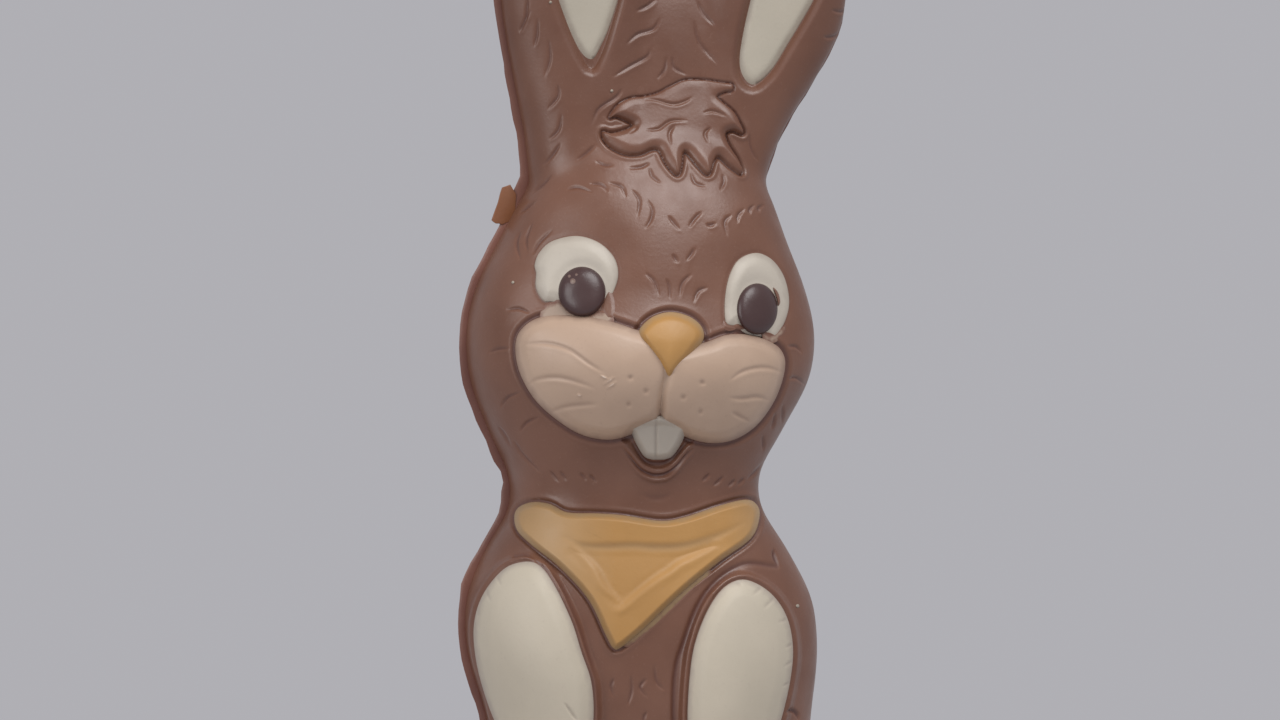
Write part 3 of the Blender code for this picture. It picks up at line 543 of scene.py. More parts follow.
def plain_skin():
    """Trunk, ears and the web between them, melted into one smooth skin."""
    forms = [
        stacked_form("trunk", TRUNK, (8, -26), (126, 150), 2.6),
        stacked_form("left_ear", LEFT_EAR, (128, 118), (172, 205), 2.3),
        stacked_form("right_ear", RIGHT_EAR, (128, 118), (170, 203), 2.3),
        stacked_form("web", WEB, (130, 118), (156, 177), 2.3),
    ]
    bpy.ops.object.select_all(action="DESELECT")
    for form in forms:
        form.select_set(True)
    bpy.context.view_layer.objects.active = forms[0]
    bpy.ops.object.join()
    skin = bpy.context.object
    finish_modifier(skin, "REMESH", mode="VOXEL", voxel_size=SKIN_STEP * MM)
    finish_modifier(skin, "SMOOTH", factor=0.5, iterations=SKIN_SMOOTHING)
    return skin


# Relief of the mould's front half
def main_relief(across, up):
    """The broad forms that stand out from the plain skin."""
    relief = np.zeros(len(across))
    for hollow in (LEFT_HOLLOW, RIGHT_HOLLOW):
        inwards = inside_distance(closed_outline(hollow, 120), across, up)
        relief -= EAR_HOLLOW_DEPTH * np.clip((inwards + 1.6) / 2.0, 0, 1) ** 2.2
    for eye in (LEFT_EYE, RIGHT_EYE):
        middle = np.mean(eye, axis=0)
        wide, high = EYE_SOCKET_SIZE
        away = np.hypot((across - middle[0]) / wide, (up - middle[1] - 1.0) / high)
        relief -= EYE_SOCKET_DEPTH * np.exp(-(away**4))
    (x, y), (w, h) = MUZZLE_SWELL["centre"], MUZZLE_SWELL["half_size"]
    relief += MUZZLE_HEIGHT * np.clip(1 - ((across - x) / w) ** 2 - ((up - y) / h) ** 2, 0, 1) ** 2
    relief -= MOUTH_DEPTH * smooth_step(inside_distance(closed_outline(MOUTH, 60), across, up) / 1.6)
    beside_bandana = smooth_step(-inside_distance(closed_outline(BANDANA, 90), across, up) / 1.6)
    for sole in (LEFT_SOLE, RIGHT_SOLE):
        edge = grown(closed_outline(sole, 90), LEG_RIM)
        relief += LEG_HEIGHT * smooth_step(inside_distance(edge, across, up) / 1.4) * beside_bandana
    return relief


def fine_relief(across, up):
    """Tuft, creases and strokes of fur."""
    relief = np.zeros(len(across))
    tuft = inside_distance(closed_outline(TUFT, 300), across, up)
    relief += (0.3 + 1.1 * smooth_step((152.5 - up) / 10)) * rounded(tuft, 1.6) ** 0.6
    relief -= 0.38 * follow(tuft, 0.2, 0.24)
    relief += 0.22 * follow(tuft, 0.95, 0.4) * smooth_step((145 - up) / 3)
    for lines, depth, width, shift in ((TUFT_STROKES, 0.34, 0.32, 0.2), (FUR, 0.32, 0.34, 0.3)):
        for line in lines:
            relief -= depth * stroke(line, across, up, width)
            relief += 0.08 * stroke(moved(line, shift, -0.6), across, up, 0.4)
    for edge in (LEFT_CHEEK, RIGHT_CHEEK, NOSE):
        inwards = inside_distance(closed_outline(edge, 90), across, up)
        relief -= 0.55 * follow(inwards, 0.45, 0.5)
        relief += 0.1 * follow(inwards, 1.3, 0.5)
    bandana = inside_distance(closed_outline(BANDANA, 120), across, up)
    relief -= 0.35 * follow(bandana, 0.35, 0.35)
    relief += 0.12 * follow(bandana, 1.1, 0.4)
    for eye in (LEFT_EYE, RIGHT_EYE):
        relief -= 0.12 * follow(inside_distance(closed_outline(eye, 60), across, up), 0.2, 0.4)
    relief -= 0.55 * stroke(LIP, across, up, 0.42)
    relief -= 0.4 * stroke(INNER_LIP, across, up, 0.45, 0.5)
    relief += 0.45 * stroke(moved(LIP, 0, -0.9), across, up, 0.5)
    relief += 0.3 * stroke(moved(LIP, 0, 1.1), across, up, 0.5)
    relief -= 0.2 * stroke(CHIN, across, up, 0.7)
    for crease in (LEFT_LEG_CREASE, RIGHT_LEG_CREASE):
        relief -= 0.4 * stroke(crease, across, up, 0.6, 0.3)
    for sole in (LEFT_SOLE, RIGHT_SOLE):
        inwards = inside_distance(closed_outline(sole, 90), across, up)
        relief -= 0.2 * follow(inwards, 0.15, 0.3)
        relief += 0.2 * follow(inwards, 0.8, 0.45)
    for ridge in LEG_RIDGES:
        relief += 0.22 * stroke(ridge, across, up, 0.3, 0.8)
    for crease in SLEEVE_CREASES:
        relief -= 0.5 * stroke(crease, across, up, 0.4)
    return relief


def drawn(points):
    """Where the points appear in the drawing, as across and up."""
    return points @ ACROSS, points[:, 2]


def press_front(item, facing):
    """Presses the broad forms into the front, straight towards the viewer."""
    points = points_of(item)
    relief = main_relief(*drawn(points)) * facing
    set_points(item, points + TOWARDS * relief[:, None])


def press_details(item, facing):
    """Presses the fine relief along the surface's own outward way, and marks how deep it goes."""
    points = points_of(item)
    relief = fine_relief(*drawn(points)) * facing
    set_points(item, points + outward_of(item) * relief[:, None])
    keep_mark(item, "depth", relief)


class Front:
    """The bunny's front, found along the view that the outlines are drawn in."""

    def __init__(self, pressed):
        faces = [tuple(face.vertices) for face in pressed.data.polygons]
        self.tree = BVHTree.FromPolygons([v.co for v in pressed.data.vertices], faces)

    def at(self, places):
        found = []
        for across, up in places:
            eye = Vector((ACROSS * across + TOWARDS * 200 + (0, 0, up)) * MM)
            place = self.tree.ray_cast(eye, Vector(-TOWARDS))[0]
            if place is None:
                place = self.tree.find_nearest(Vector((ACROSS * across + (0, 0, up)) * MM))[0]
            found.append(place)
        return np.array(found) / MM


def inlay(name, outline, rings, lift, finish, node, details=None, sink=1.0):
    """Lays a piece of coloured chocolate on the body's surface, with its rim sunk that deep into it.

    It has this many rings of faces. lift gives its rounded form and details the fine marks on it, and
    both stand out towards the viewer."""
    around = len(outline)
    bpy.ops.object.select_all(action="DESELECT")
    bpy.ops.mesh.primitive_grid_add(x_subdivisions=rings + 1, y_subdivisions=around, size=2 * MM)
    item = new_piece(name)
    sheet = (points_of(item) + 1) / 2
    ring = np.round(sheet[:, 0] * (rings + 1))
    index = np.round(sheet[:, 1] * around).astype(int) % around
    tilt = np.minimum(ring / rings, 1.0) * math.pi / 2
    radius = 0.5 * np.sin(tilt) + tilt / math.pi
    middle = outline.mean(axis=0)
    spread = outline - middle
    reach = max((np.ptp(outline[:, 0]) - np.ptp(outline[:, 1])) / 2, 0)
    spine = np.column_stack([np.clip(spread[:, 0], -reach, reach), np.zeros(len(spread))])
    r = radius[:, None]
    places = middle + r * spread[index] + r * (1 - r) * spine[index] * 0.8
    across, up = places.T
    inwards = np.maximum(inside_distance(outline, across, up), 0.0)
    marks = details(across, up) if details else np.zeros(len(across))
    marks = marks * np.clip(inwards / 0.5, 0.2, 1)
    rise = lift(inwards, radius, across, up) + marks
    rise = np.where(ring > rings, -sink, rise)
    set_points(item, surface.at(places) + TOWARDS * rise[:, None])
    keep_mark(item, "depth", marks)
    keep_mark(item, "inwards", inwards)
    only(item)
    bpy.ops.object.mode_set(mode="EDIT")
    bpy.ops.mesh.select_all(action="SELECT")
    bpy.ops.mesh.remove_doubles(threshold=1e-7)
    close_rim()
    turn_outwards()
    bpy.ops.object.mode_set(mode="OBJECT")
    place_piece(item, finish, node)


# How far each coloured piece stands out. A lift takes the distance in from the rim, the share of the way
# from the middle to the rim, and the drawn place
def flat_lift(height, width):
    """A flat layer that thins out softly within width of its rim."""
    return lambda inwards, radius, across, up: height * smooth_step(inwards / width)


def domed_lift(height, width, dome=0.0):
    """A layer with a round edge of this width, and a dome over it."""
    return lambda inwards, radius, across, up: height * rounded(inwards, width) + dome * (1 - radius**2)


def eye_lift(pupil):
    """A rounded ring that dips towards its pupil."""
    x, y = pupil["centre"]
    w, h = pupil["half_size"]

    def lift(inwards, radius, across, up):
        from_pupil = (np.hypot((across - x) / w, (up - y) / h) - 1) * w
        return 1.1 * rounded(inwards, 2.6) - 0.5 * np.exp(-((np.maximum(from_pupil, 0) / 1.3) ** 2))

    return lift


def pupil_lift(inwards, radius, across, up):
    return PUPIL_HEIGHT * np.sqrt(1 - radius**3)


def cheek_lift(inwards, radius, across, up):
    return 1.5 * rounded(inwards, 2.6) + 1.3 * (1 - radius**2) - 0.9 * stroke(PHILTRUM, across, up, 0.9, 0.3)


def cheek_details(across, up):
    marks = np.zeros(len(across))
    for whisker in WHISKERS:
        marks -= 0.27 * stroke(whisker, across, up, 0.48)
        marks += 0.06 * stroke(moved(whisker, 0.2, -0.9), across, up, 0.5)
    for a, u in FRECKLES:
        marks -= 0.28 * np.exp(-(((across - a) ** 2 + (up - u) ** 2) / 0.5**2))
    for scratch in SCRATCHES:
        marks += 0.2 * stroke(scratch, across, up, 0.24)
    return marks


def teeth_details(across, up):
    return -0.3 * np.exp(-(((across - 3.6) / 0.3) ** 2))


def bandana_lift(inwards, radius, across, up):
    panel = inside_distance(closed_outline(BANDANA_PANEL, 60), across, up)
    rise = 1.6 - 0.7 * smooth_step((panel + 1.4) / 3.6) + 0.8 * smooth_step((up - 58.5) / 6.5)
    for hem in (LEFT_HEM, RIGHT_HEM):
        rise += 0.4 * stroke(hem, across, up, 1.0, 0.6)
    return rise * rounded(inwards, 1.3)


def bandana_details(across, up):
    marks = -0.28 * stroke(BANDANA_FOLD, across, up, 0.9, 0.8)
    marks -= 0.1 * stroke(moved(LEFT_HEM, 1.1, 0.6), across, up, 0.7)
    marks -= 0.1 * stroke(moved(RIGHT_HEM, -0.6, 1.2), across, up, 0.7)
    return marks


def sole_details(across, up):
    marks = np.zeros(len(across))
    for nick in LEFT_SOLE_NICKS + RIGHT_SOLE_NICKS:
        marks -= 0.3 * stroke(nick, across, up, 0.3, 0.6)
    return marks


# Finishes
class Finish:
    """A chocolate, made of nodes that vary its colour, sheen and surface over the piece."""

    def __init__(self, name):
        self.material = bpy.data.materials.new(name)
        self.material.use_nodes = True
        self.nodes = self.material.node_tree.nodes
        self.links = self.material.node_tree.links
        self.shader = self.nodes["Principled BSDF"]
        self.place = self.nodes.new("ShaderNodeTexCoord").outputs["Object"]

    def noise(self, scale, detail=4.0):
        noise = self.nodes.new("ShaderNodeTexNoise")
        noise.inputs["Scale"].default_value = scale
        noise.inputs["Detail"].default_value = detail
        self.links.new(self.place, noise.inputs["Vector"])
        return noise.outputs["Fac"]

    def spread(self, value, low, high, to_low, to_high):
        """The value's range low..high turned into another range."""
        made = self.nodes.new("ShaderNodeMapRange")
        for name, number in (("From Min", low), ("From Max", high), ("To Min", to_low), ("To Max", to_high)):
            made.inputs[name].default_value = number
        self.links.new(value, made.inputs["Value"])
        return made.outputs["Result"]

    def mix(self, share, first, second):
        """first where share is 0, second where it is 1; each is a colour or a socket."""
        made = self.nodes.new("ShaderNodeMix")
        made.data_type = "RGBA"
        self.links.new(share, made.inputs[0])
        for value, socket in ((first, made.inputs[6]), (second, made.inputs[7])):
            if isinstance(value, tuple):
                socket.default_value = (*value, 1.0)
            else:
                self.links.new(value, socket)
        return made.outputs[2]

    def add(self, first, second):
        made = self.nodes.new("ShaderNodeMath")
        self.links.new(first, made.inputs[0])
        self.links.new(second, made.inputs[1])
        return made.outputs["Value"]

    def place_along(self, axis):
        made = self.nodes.new("ShaderNodeSeparateXYZ")
        self.links.new(self.place, made.inputs["Vector"])
        return made.outputs[axis]

    def mark(self, name):
        """A value kept on the piece's own points."""
        made = self.nodes.new("ShaderNodeAttribute")
        made.attribute_name = name
        return made.outputs["Fac"]

    def complete(self, colour, roughness):
        """Joins the colour to the shader, with a mottled sheen and a faintly uneven surface."""
        self.links.new(colour, self.shader.inputs["Base Color"])
        low, high = roughness
        sheen = self.spread(self.noise(230.0, 6.0), 0.35, 0.65, low, high)
        self.links.new(sheen, self.shader.inputs["Roughness"])
        bump = self.nodes.new("ShaderNodeBump")
        bump.inputs["Distance"].default_value = 0.05 * MM
        bump.inputs["Strength"].default_value = 0.6
        self.links.new(self.add(self.noise(1400.0, 3.0), self.noise(170.0, 2.0)), bump.inputs["Height"])
        self.links.new(bump.outputs["Normal"], self.shader.inputs["Normal"])
        return self.material


def milk_chocolate(name, dark, light):
    """Milk chocolate with painted shade: a little darker towards the ears and in each groove."""
    made = Finish(name)
    colour = made.mix(made.spread(made.noise(70.0), 0.35, 0.65, 0.0, 1.0), dark, light)
    specks = made.spread(made.noise(2400.0, 1.0), 0.66, 0.76, 0.0, 0.2)
    colour = made.mix(specks, colour, (0.27, 0.16, 0.12))
    # Painted shade: each groove is darkened by its depth.
    groove_shade = made.spread(made.mark("depth"), -0.4, -0.08, 0.6, 0.0)
    colour = made.mix(groove_shade, colour, (0.078, 0.030, 0.027))
    # Painted shade: the colour darkens upwards towards the ears.
    shade_towards_ears = made.spread(made.place_along("Z"), 0.130, 0.165, 0.0, 0.3)
    colour = made.mix(shade_towards_ears, colour, (0.075, 0.030, 0.020))
    return made.complete(colour, (0.33, 0.43))


def smear(name, colour, edge=(0.16, 0.072, 0.047)):
    """A thin film of chocolate that fades into the milk chocolate under it."""
    made = Finish(name)
    uneven = made.add(made.mark("inwards"), made.spread(made.noise(700.0), 0.3, 0.7, -0.35, 0.35))
    faded = made.mix(made.spread(uneven, 0.1, 0.9, 0.0, 1.0), edge, colour)
    return made.complete(faded, (0.34, 0.44))


def coating(name, dark, light, thin, gloss, thin_ends=False):
    """A coloured chocolate, thin and brownish along its rim, with painted shade in each groove and pale
    scratches.
    """
    made = Finish(name)
    colour = made.mix(made.spread(made.noise(60.0), 0.35, 0.65, 0.0, 1.0), dark, light)
    specks = made.spread(made.noise(1500.0, 1.0), 0.66, 0.76, 0.0, 0.12)
    colour = made.mix(specks, colour, thin)
    uneven = made.add(made.mark("inwards"), made.spread(made.noise(420.0), 0.3, 0.7, -0.25, 0.25))
    colour = made.mix(made.spread(uneven, 0.0, 1.2, 0.8, 0.0), colour, thin)
    if thin_ends:
        colour = made.mix(made.spread(made.place_along("X"), -0.026, -0.014, 0.5, 0.0), colour, thin)
        colour = made.mix(made.spread(made.place_along("X"), 0.009, 0.020, 0.0, 0.5), colour, thin)
    # Painted shade: each groove takes the thin tone by its depth.
    groove_shade = made.spread(made.mark("depth"), -0.3, -0.04, 0.4, 0.0)
    colour = made.mix(groove_shade, colour, thin)
    scratches = made.spread(made.mark("depth"), 0.13, 0.2, 0.0, 0.5)
    colour = made.mix(scratches, colour, (0.8, 0.7, 0.6))
    return made.complete(colour, gloss)


# Each coating has a darker and a lighter tone, a tone where it lies thin, also painted into its relief as
# shade, and a range of roughness
CREAM = coating(
    "cream_chocolate", (0.465, 0.41, 0.32), (0.50, 0.44, 0.345), (0.34, 0.285, 0.24), (0.54, 0.64)
)
# The ears' cream is the soles' cream made darker: painted shade on the ears. The body's specks share it.
EAR_CREAM = coating(
    "ear_cream_chocolate", (0.39, 0.35, 0.28), (0.42, 0.375, 0.30), (0.30, 0.25, 0.20), (0.40, 0.50)
)
WHITE = coating(
    "white_chocolate", (0.445, 0.395, 0.33), (0.48, 0.43, 0.36), (0.33, 0.28, 0.23), (0.46, 0.56)
)
BEIGE = coating(
    "beige_chocolate", (0.41, 0.285, 0.205), (0.46, 0.325, 0.235), (0.24, 0.155, 0.115), (0.40, 0.50)
)
ORANGE = coating(
    "orange_chocolate", (0.385, 0.20, 0.058), (0.435, 0.23, 0.070), (0.335, 0.235, 0.135),
    (0.46, 0.56), thin_ends=True,
)
DARK = coating(
    "dark_chocolate", (0.052, 0.025, 0.024), (0.062, 0.031, 0.029), (0.045, 0.020, 0.020), (0.30, 0.36)
)
MILK = milk_chocolate("milk_chocolate", (0.145, 0.062, 0.037), (0.175, 0.079, 0.049))
SEAM = milk_chocolate("seam_chocolate", (0.150, 0.055, 0.038), (0.190, 0.075, 0.050))
FLASH = milk_chocolate("thin_chocolate", (0.20, 0.078, 0.032), (0.25, 0.10, 0.045))
FILM = smear("beige_film", (0.33, 0.24, 0.18))
STAIN = smear("brown_film", (0.17, 0.080, 0.050))
# Pale spots on the left pupil: a painted highlight where its glint falls.
GLINT_FILM = smear("painted_glint", (0.33, 0.27, 0.22), (0.16, 0.10, 0.08))
SEEP = smear("olive_film", (0.25, 0.16, 0.08))


def place_piece(item, finish, node):
    """Gives the piece its finish and puts it in the frame, inside the measured box."""
    low, high = np.array(cad_box) / MM
    set_points(item, np.clip(points_of(item) + AXIS_PLACE, low + BOX_MARGIN, high - BOX_MARGIN))
    item.data.materials.clear()
    item.data.materials.append(finish)
    only(item)
    bpy.ops.object.shade_smooth_by_angle(angle=math.radians(70))
    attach(item, "root")
    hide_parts(node)


# Thin smears of chocolate that ran past the coloured pieces' edges, as drawn
LEFT_EYE_FILM = [
    (-18.2, 107.2), (-15.2, 107.4), (-12.6, 105.4), (-7.6, 105.4), (-6.0, 106.6), (-5.2, 105.4),
    (-5.2, 103.2), (-12.0, 103.2), (-18.6, 103.8), (-19.4, 105.4),
]
LEFT_EYE_STAIN = [
    (-6.4, 109.4), (-5.4, 109.8), (-4.6, 107.6), (-4.7, 104.6), (-6.2, 104.2), (-7.2, 106.4),
]
RIGHT_EYE_FILM = [
    (24.6, 101.6), (26.4, 101.0), (28.0, 102.0), (29.2, 103.0), (29.4, 101.8), (28.4, 100.4),
    (27.0, 99.4), (25.2, 99.6),
]
RIGHT_EYE_STAIN = [(17.0, 103.8), (18.4, 103.0), (19.4, 102.2), (18.0, 101.8), (16.8, 102.4)]
RIGHT_EYE_SLIVER = [
    (26.7, 110.5), (27.5, 110.2), (28.2, 109.0), (28.4, 107.4), (27.8, 106.6), (27.4, 108.2),
]
BANDANA_SEEP = [
    (14.8, 52.9), (11.8, 50.5), (7.8, 47.0), (4.0, 43.4), (0.2, 40.4), (-2.2, 39.1), (-2.8, 40.4),
    (1.0, 43.6), (6.0, 48.4), (10.5, 52.4), (13.6, 54.8),
]

# Specks on the body, and a painted highlight on the left pupil where its glint falls: place and half size,
# as drawn
BODY_SPECKS = [(31.8, 47.0, 0.35), (-24.8, 111.4, 0.3), (-17.4, 167.2, 0.3), (-5.2, 149.6, 0.3)]
PUPIL_GLINTS = [(-12.9, 111.6, 0.55), (-13.6, 112.6, 0.3), (-12.2, 112.9, 0.25)]


def body_speck_lift(inwards, radius, across, up):
    return 0.3 * (1 - radius**2) + 0.05


def pupil_glint_lift(inwards, radius, across, up):
    """The pupil's painted highlight follows the pupil's own dome, a hair above it."""
    x, y = LEFT_PUPIL["centre"]
    w, h = LEFT_PUPIL["half_size"]
    out = np.hypot((across - x) / w, (up - y) / h)
    return PUPIL_HEIGHT * np.sqrt(1 - out**3) + 0.05 * (1 - radius**2)


# The body
def front_half(skin):
    """The dense front half with its relief, and the surface that the coloured pieces lie on.

    The relief fades out near the seam and where the skin turns away from the view."""
    front = copy_of(skin, "body_front")
    cut_off(front, (0, 1, 0), fill=False)
    finish_modifier(front, "SUBSURF", levels=2)
    facing = smooth_step(-points_of(front)[:, 1] / 3.0)
    turned = smooth_step((outward_of(front) @ TOWARDS - 0.05) / 0.3)
    press_front(front, facing)
    surface = Front(front)
    press_details(front, facing * turned)
    return front, surface


def close_and_thin(item, triangles):
    """Closes the open half, thins it to this many triangles and stands it level."""
    only(item)
    bpy.ops.object.mode_set(mode="EDIT")
    close_rim()
    bpy.ops.object.mode_set(mode="OBJECT")
    now = sum(len(face.vertices) - 2 for face in item.data.polygons)
    if now > triangles:
        finish_modifier(item, "DECIMATE", ratio=triangles / now)
    cut_off(item, (0, 0, -1))


def seam_points(skin, count):
    """The skin's outline on the plane between the halves, from the foot round, as even points."""
    half = copy_of(skin, "seam_guide")
    cut_off(half, (0, 1, 0), fill=False)
    only(half)
    bpy.ops.object.mode_set(mode="EDIT")
    bpy.ops.mesh.select_all(action="DESELECT")
    bpy.ops.mesh.select_non_manifold()
    bpy.ops.object.mode_set(mode="OBJECT")
    points = points_of(half)
    beside = {}
    for edge in half.data.edges:
        if edge.select:
            a, b = edge.vertices
            beside.setdefault(a, []).append(b)
            beside.setdefault(b, []).append(a)
    start = min(beside, key=lambda v: points[v, 2])
    loop, previous, current = [start], None, start
    while True:
        following = [v for v in beside[current] if v != previous]
        previous, current = current, following[0]
        if current == start:
            break
        loop.append(current)
    bpy.data.objects.remove(half)
    return evenly_spaced(points[loop][:, [0, 2]], count)


# Heights between which the seam's rim is broken wider or narrower, and by how much
LEFT_RIM_BREAKS = [
    (49.5, 56.2, 0.25), (56.2, 60.0, -0.2), (66.0, 70.2, 0.3), (70.2, 75.8, -0.25), (75.8, 80.0, 0.2),
]
RIGHT_RIM_BREAKS = [
    (132.4, 133.2, 0.3), (134.6, 135.1, 0.4), (136.9, 137.8, 0.25), (139.6, 140.2, 0.4), (59.0, 60.0, -0.4),
]
# How many waves run round the rim, and how high they are
RIM_WAVES = [(11, 0.1), (29, 0.08), (83, 0.07), (191, 0.05)]
# The ring that the rim is bent from
RIM_GUIDE_RADIUS = 10


def seam_rim(skin):
    """The thin uneven rim where the halves of the mould met."""
    bpy.ops.object.select_all(action="DESELECT")
    bpy.ops.mesh.primitive_torus_add(
        major_segments=SEAM_POINTS, minor_segments=12, major_radius=RIM_GUIDE_RADIUS * MM, minor_radius=MM
    )
    item = new_piece("seam_rim")
    made = points_of(item)
    around = np.mod(np.arctan2(made[:, 1], made[:, 0]) / (2 * math.pi), 1.0)
    index = np.round(around * SEAM_POINTS).astype(int) % SEAM_POINTS
    out = np.hypot(made[:, 0], made[:, 1]) - RIM_GUIDE_RADIUS
    outline = seam_points(skin, SEAM_POINTS)
    turns = np.linspace(0, 2 * math.pi, SEAM_POINTS, endpoint=False)
    wave = sum(height * np.sin(times * turns + times) for times, height in RIM_WAVES)
    width = 0.45 + 0.95 * smooth_step((5 - outline[:, 0]) / 15) + wave
    for breaks, side in ((LEFT_RIM_BREAKS, -1), (RIGHT_RIM_BREAKS, 1)):
        for low, high, extra in breaks:
            width += extra * ((outline[:, 1] > low) & (outline[:, 1] < high) & (outline[:, 0] * side > 0))
    width += 0.7 * np.exp(-(((outline[:, 1] - 129.5) / 3.5) ** 2)) * (outline[:, 0] < 0)
    normal = grown(outline, 1.0) - outline
    reach = np.where(out > 0, out * width[index], out * 1.2)
    place = outline[index] + normal[index] * reach[:, None]
    thick = made[:, 2] * 0.5 * np.where(out > 0, 1 - 0.4 * np.clip(out, 0, 1), 1.0)
    set_points(item, np.column_stack([place[:, 0], thick, place[:, 1]]))
    cut_off(item, (0, 0, -1))
    return item


# The flake of thin chocolate that squeezed out beside the left ear
FLAKE_FACE = -0.15
FLAKE_THICKNESS = 0.4
FLAKE = [
    (-25.6, 131.0), (-26.3, 130.7), (-27.2, 130.4), (-27.6, 129.2), (-28.0, 127.5), (-28.7, 125.6),
    (-29.3, 123.9), (-28.9, 123.5), (-28.4, 123.2), (-27.8, 123.2), (-27.2, 123.0), (-25.8, 123.6),
    (-24.6, 126.0), (-24.4, 129.0),
]


def flash_flake():
    bpy.ops.object.select_all(action="DESELECT")
    bpy.ops.mesh.primitive_circle_add(vertices=len(FLAKE), radius=MM, fill_type="NGON")
    item = new_piece("flash_flake")
    across, up = np.array(FLAKE).T
    set_points(item, np.column_stack([across / ACROSS[0], np.full(len(across), FLAKE_FACE), up]))
    finish_modifier(item, "SOLIDIFY", thickness=FLAKE_THICKNESS * MM, offset=1.0)
    finish_modifier(item, "BEVEL", width=0.1 * MM, segments=2)
    only(item)
    bpy.ops.object.mode_set(mode="EDIT")
    turn_outwards()
    bpy.ops.object.mode_set(mode="OBJECT")
    return item


# Putting it together. The heavy body waits outside the collection while the small pieces are made
skin = plain_skin()
front, surface = front_half(skin)
close_and_thin(front, FRONT_TRIANGLES)
back = copy_of(skin, "body_back")
cut_off(back, (0, -1, 0), fill=False)
close_and_thin(back, BACK_TRIANGLES)
seam = seam_rim(skin)
bpy.data.objects.remove(skin)
body = ((front, MILK), (back, MILK), (seam, SEAM))
for piece, finish in body:
    bpy.context.collection.objects.unlink(piece)
place_piece(flash_flake(), FLASH, "chocolate_body")

for side, outline in (("left", LEFT_INNER_EAR), ("right", RIGHT_INNER_EAR)):
    name = "inner_ear_" + side
    inlay(name, closed_outline(outline, 200), 16, flat_lift(0.5, 1.4), EAR_CREAM, name)

for side, outline, pupil in (("left", LEFT_EYE, LEFT_PUPIL), ("right", RIGHT_EYE, RIGHT_PUPIL)):
    white, dark = "eye_" + side, "pupil_" + side
    inlay(white, closed_outline(outline, 220), 28, eye_lift(pupil), WHITE, white)
    inlay(dark, oval(count=128, **pupil), 24, pupil_lift, DARK, dark, sink=0.6)

for side, outline in (("left", LEFT_CHEEK), ("right", RIGHT_CHEEK)):
    rim = closed_outline(outline, 400)
    inlay("cheek_" + side, rim, 72, cheek_lift, BEIGE, "muzzle", cheek_details, 1.2)

rim = closed_outline(NOSE, 200)
inlay("nose", rim, 28, domed_lift(2.1, 1.8, 1.4), ORANGE, "nose")
rim = closed_outline(TEETH, 200)
inlay("teeth", rim, 40, domed_lift(1.3, 1.4), WHITE, "teeth", teeth_details)
rim = closed_outline(BANDANA, 480)
inlay("bandana", rim, 72, bandana_lift, ORANGE, "bandana", bandana_details, 1.4)

for side, outline in (("left", LEFT_SOLE), ("right", RIGHT_SOLE)):
    name, rim = "sole_" + side, closed_outline(outline, 400)
    inlay(name, rim, 56, domed_lift(1.4, 3.4, 2.4), CREAM, name, sole_details, 1.4)

smears = [
    ("left_eye_film", LEFT_EYE_FILM, flat_lift(0.1, 0.8), FILM, "beige_chocolate", "muzzle"),
    ("left_eye_stain", LEFT_EYE_STAIN, flat_lift(0.2, 0.8), STAIN, "beige_chocolate", "muzzle"),
    ("right_eye_film", RIGHT_EYE_FILM, flat_lift(0.1, 0.8), FILM, "beige_chocolate", "muzzle"),
    ("right_eye_stain", RIGHT_EYE_STAIN, flat_lift(0.2, 0.8), STAIN, "beige_chocolate", "muzzle"),
    ("right_eye_sliver", RIGHT_EYE_SLIVER, domed_lift(1.2, 0.4), STAIN, "beige_chocolate", "muzzle"),
    ("bandana_seep", BANDANA_SEEP, flat_lift(0.1, 0.8), SEEP, "orange_chocolate", "bandana"),
]
for name, outline, lift, finish, slot, node in smears:
    inlay(name, closed_outline(outline, 120), 10, lift, finish, node, sink=0.8)

for piece, finish in body:
    bpy.context.collection.objects.link(piece)
    place_piece(piece, finish, "chocolate_body")

# The pupil's painted highlight ends inside the pupil, above the body, so its sink is negative
specks = [
    ("body_speck", BODY_SPECKS, body_speck_lift, EAR_CREAM, "milk_chocolate", "chocolate_body", 0.3),
    ("pupil_glint", PUPIL_GLINTS, pupil_glint_lift, GLINT_FILM, "dark_chocolate", "pupil_left", -1.0),
]
for name, places, lift, finish, slot, node, sink in specks:
    for k, (across, up, size) in enumerate(places):
        spot = oval((across, up), (size, size), 24)
        inlay(f"{name}_{k + 1}", spot, 4, lift, finish, node, sink=sink)

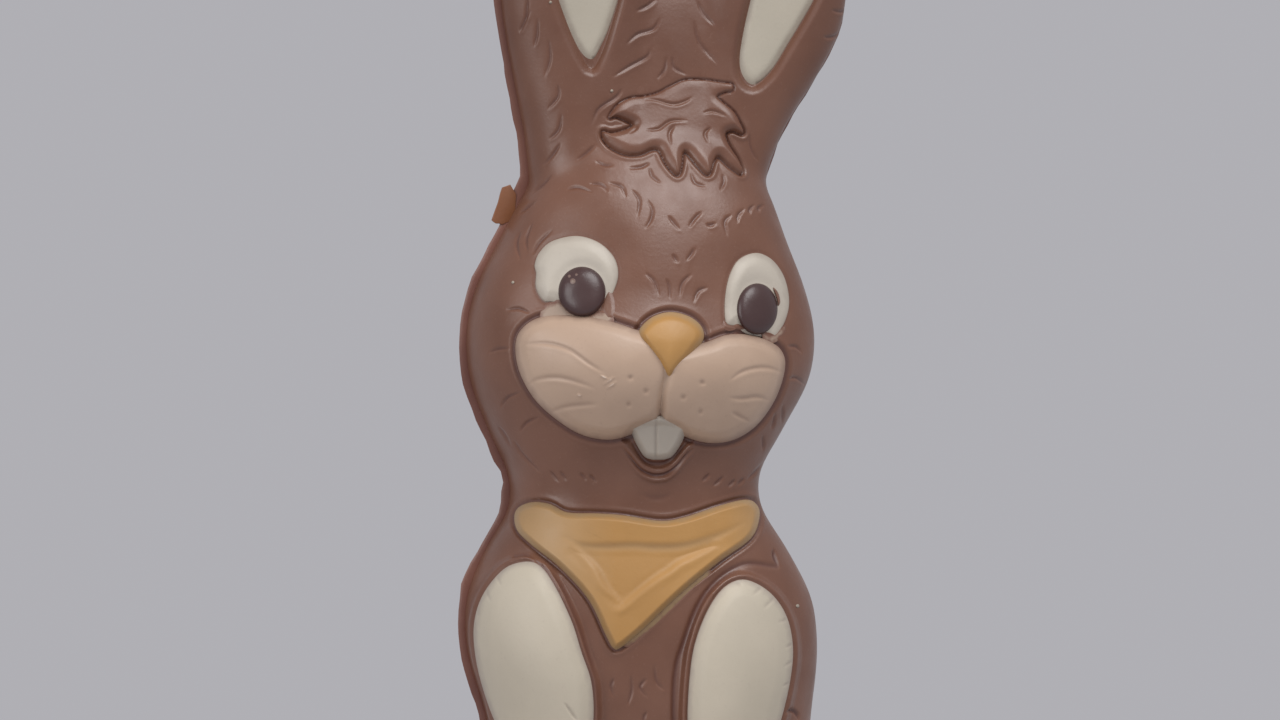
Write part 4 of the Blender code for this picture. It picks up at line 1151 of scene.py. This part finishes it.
# Floor, light and camera, in metres
bpy.ops.object.select_all(action="DESELECT")
bpy.ops.mesh.primitive_circle_add(vertices=96, radius=0.5, fill_type="NGON")
floor = new_piece("floor")
paper = bpy.data.materials.new("pale_paper")
paper.use_nodes = True
paper_shader = paper.node_tree.nodes["Principled BSDF"]
paper_shader.inputs["Base Color"].default_value = (0.5, 0.5, 0.52, 1.0)
paper_shader.inputs["Roughness"].default_value = 0.9
floor.data.materials.append(paper)

scene = bpy.context.scene
scene.view_settings.view_transform = "Standard"
world = bpy.data.worlds.new("studio")
scene.world = world
world.use_nodes = True
world.node_tree.nodes["Background"].inputs["Color"].default_value = (0.434, 0.430, 0.458, 1.0)


def soft_light(name, azimuth, elevation, distance, size, watts):
    """A square light that looks at the bunny's middle."""
    middle = Vector((0, 0, 0.11))
    a, e = math.radians(azimuth), math.radians(elevation)
    away = Vector((math.sin(a) * math.cos(e), -math.cos(a) * math.cos(e), math.sin(e)))
    lamp = bpy.data.lights.new(name, "AREA")
    lamp.size = size
    lamp.energy = watts
    item = bpy.data.objects.new(name, lamp)
    item.location = middle + away * distance
    item.rotation_euler = away.to_track_quat("Z", "Y").to_euler()
    bpy.context.collection.objects.link(item)


soft_light("top_light", azimuth=30, elevation=57, distance=1.3, size=0.8, watts=12.8)
soft_light("left_light", azimuth=-58, elevation=20, distance=1.6, size=1.0, watts=10.5)

# The camera looks at a drawn place, along the drawing's view, and its picture spans VIEW_WIDTH there
VIEW_MIDDLE = (0.4, 96)
VIEW_WIDTH = 0.256
CAMERA_DISTANCE = 2.5
lens = bpy.data.cameras.new("camera")
lens.sensor_width = 36
lens.lens = lens.sensor_width * CAMERA_DISTANCE / VIEW_WIDTH
lens.clip_end = 20
camera = bpy.data.objects.new("camera", lens)
aim = Vector((ACROSS * VIEW_MIDDLE[0] + AXIS_PLACE + (0, 0, VIEW_MIDDLE[1])) * MM)
camera.location = aim + Vector(TOWARDS) * CAMERA_DISTANCE
camera.rotation_euler = (math.pi / 2, 0, -VIEW_TURN)
scene.collection.objects.link(camera)
scene.camera = camera
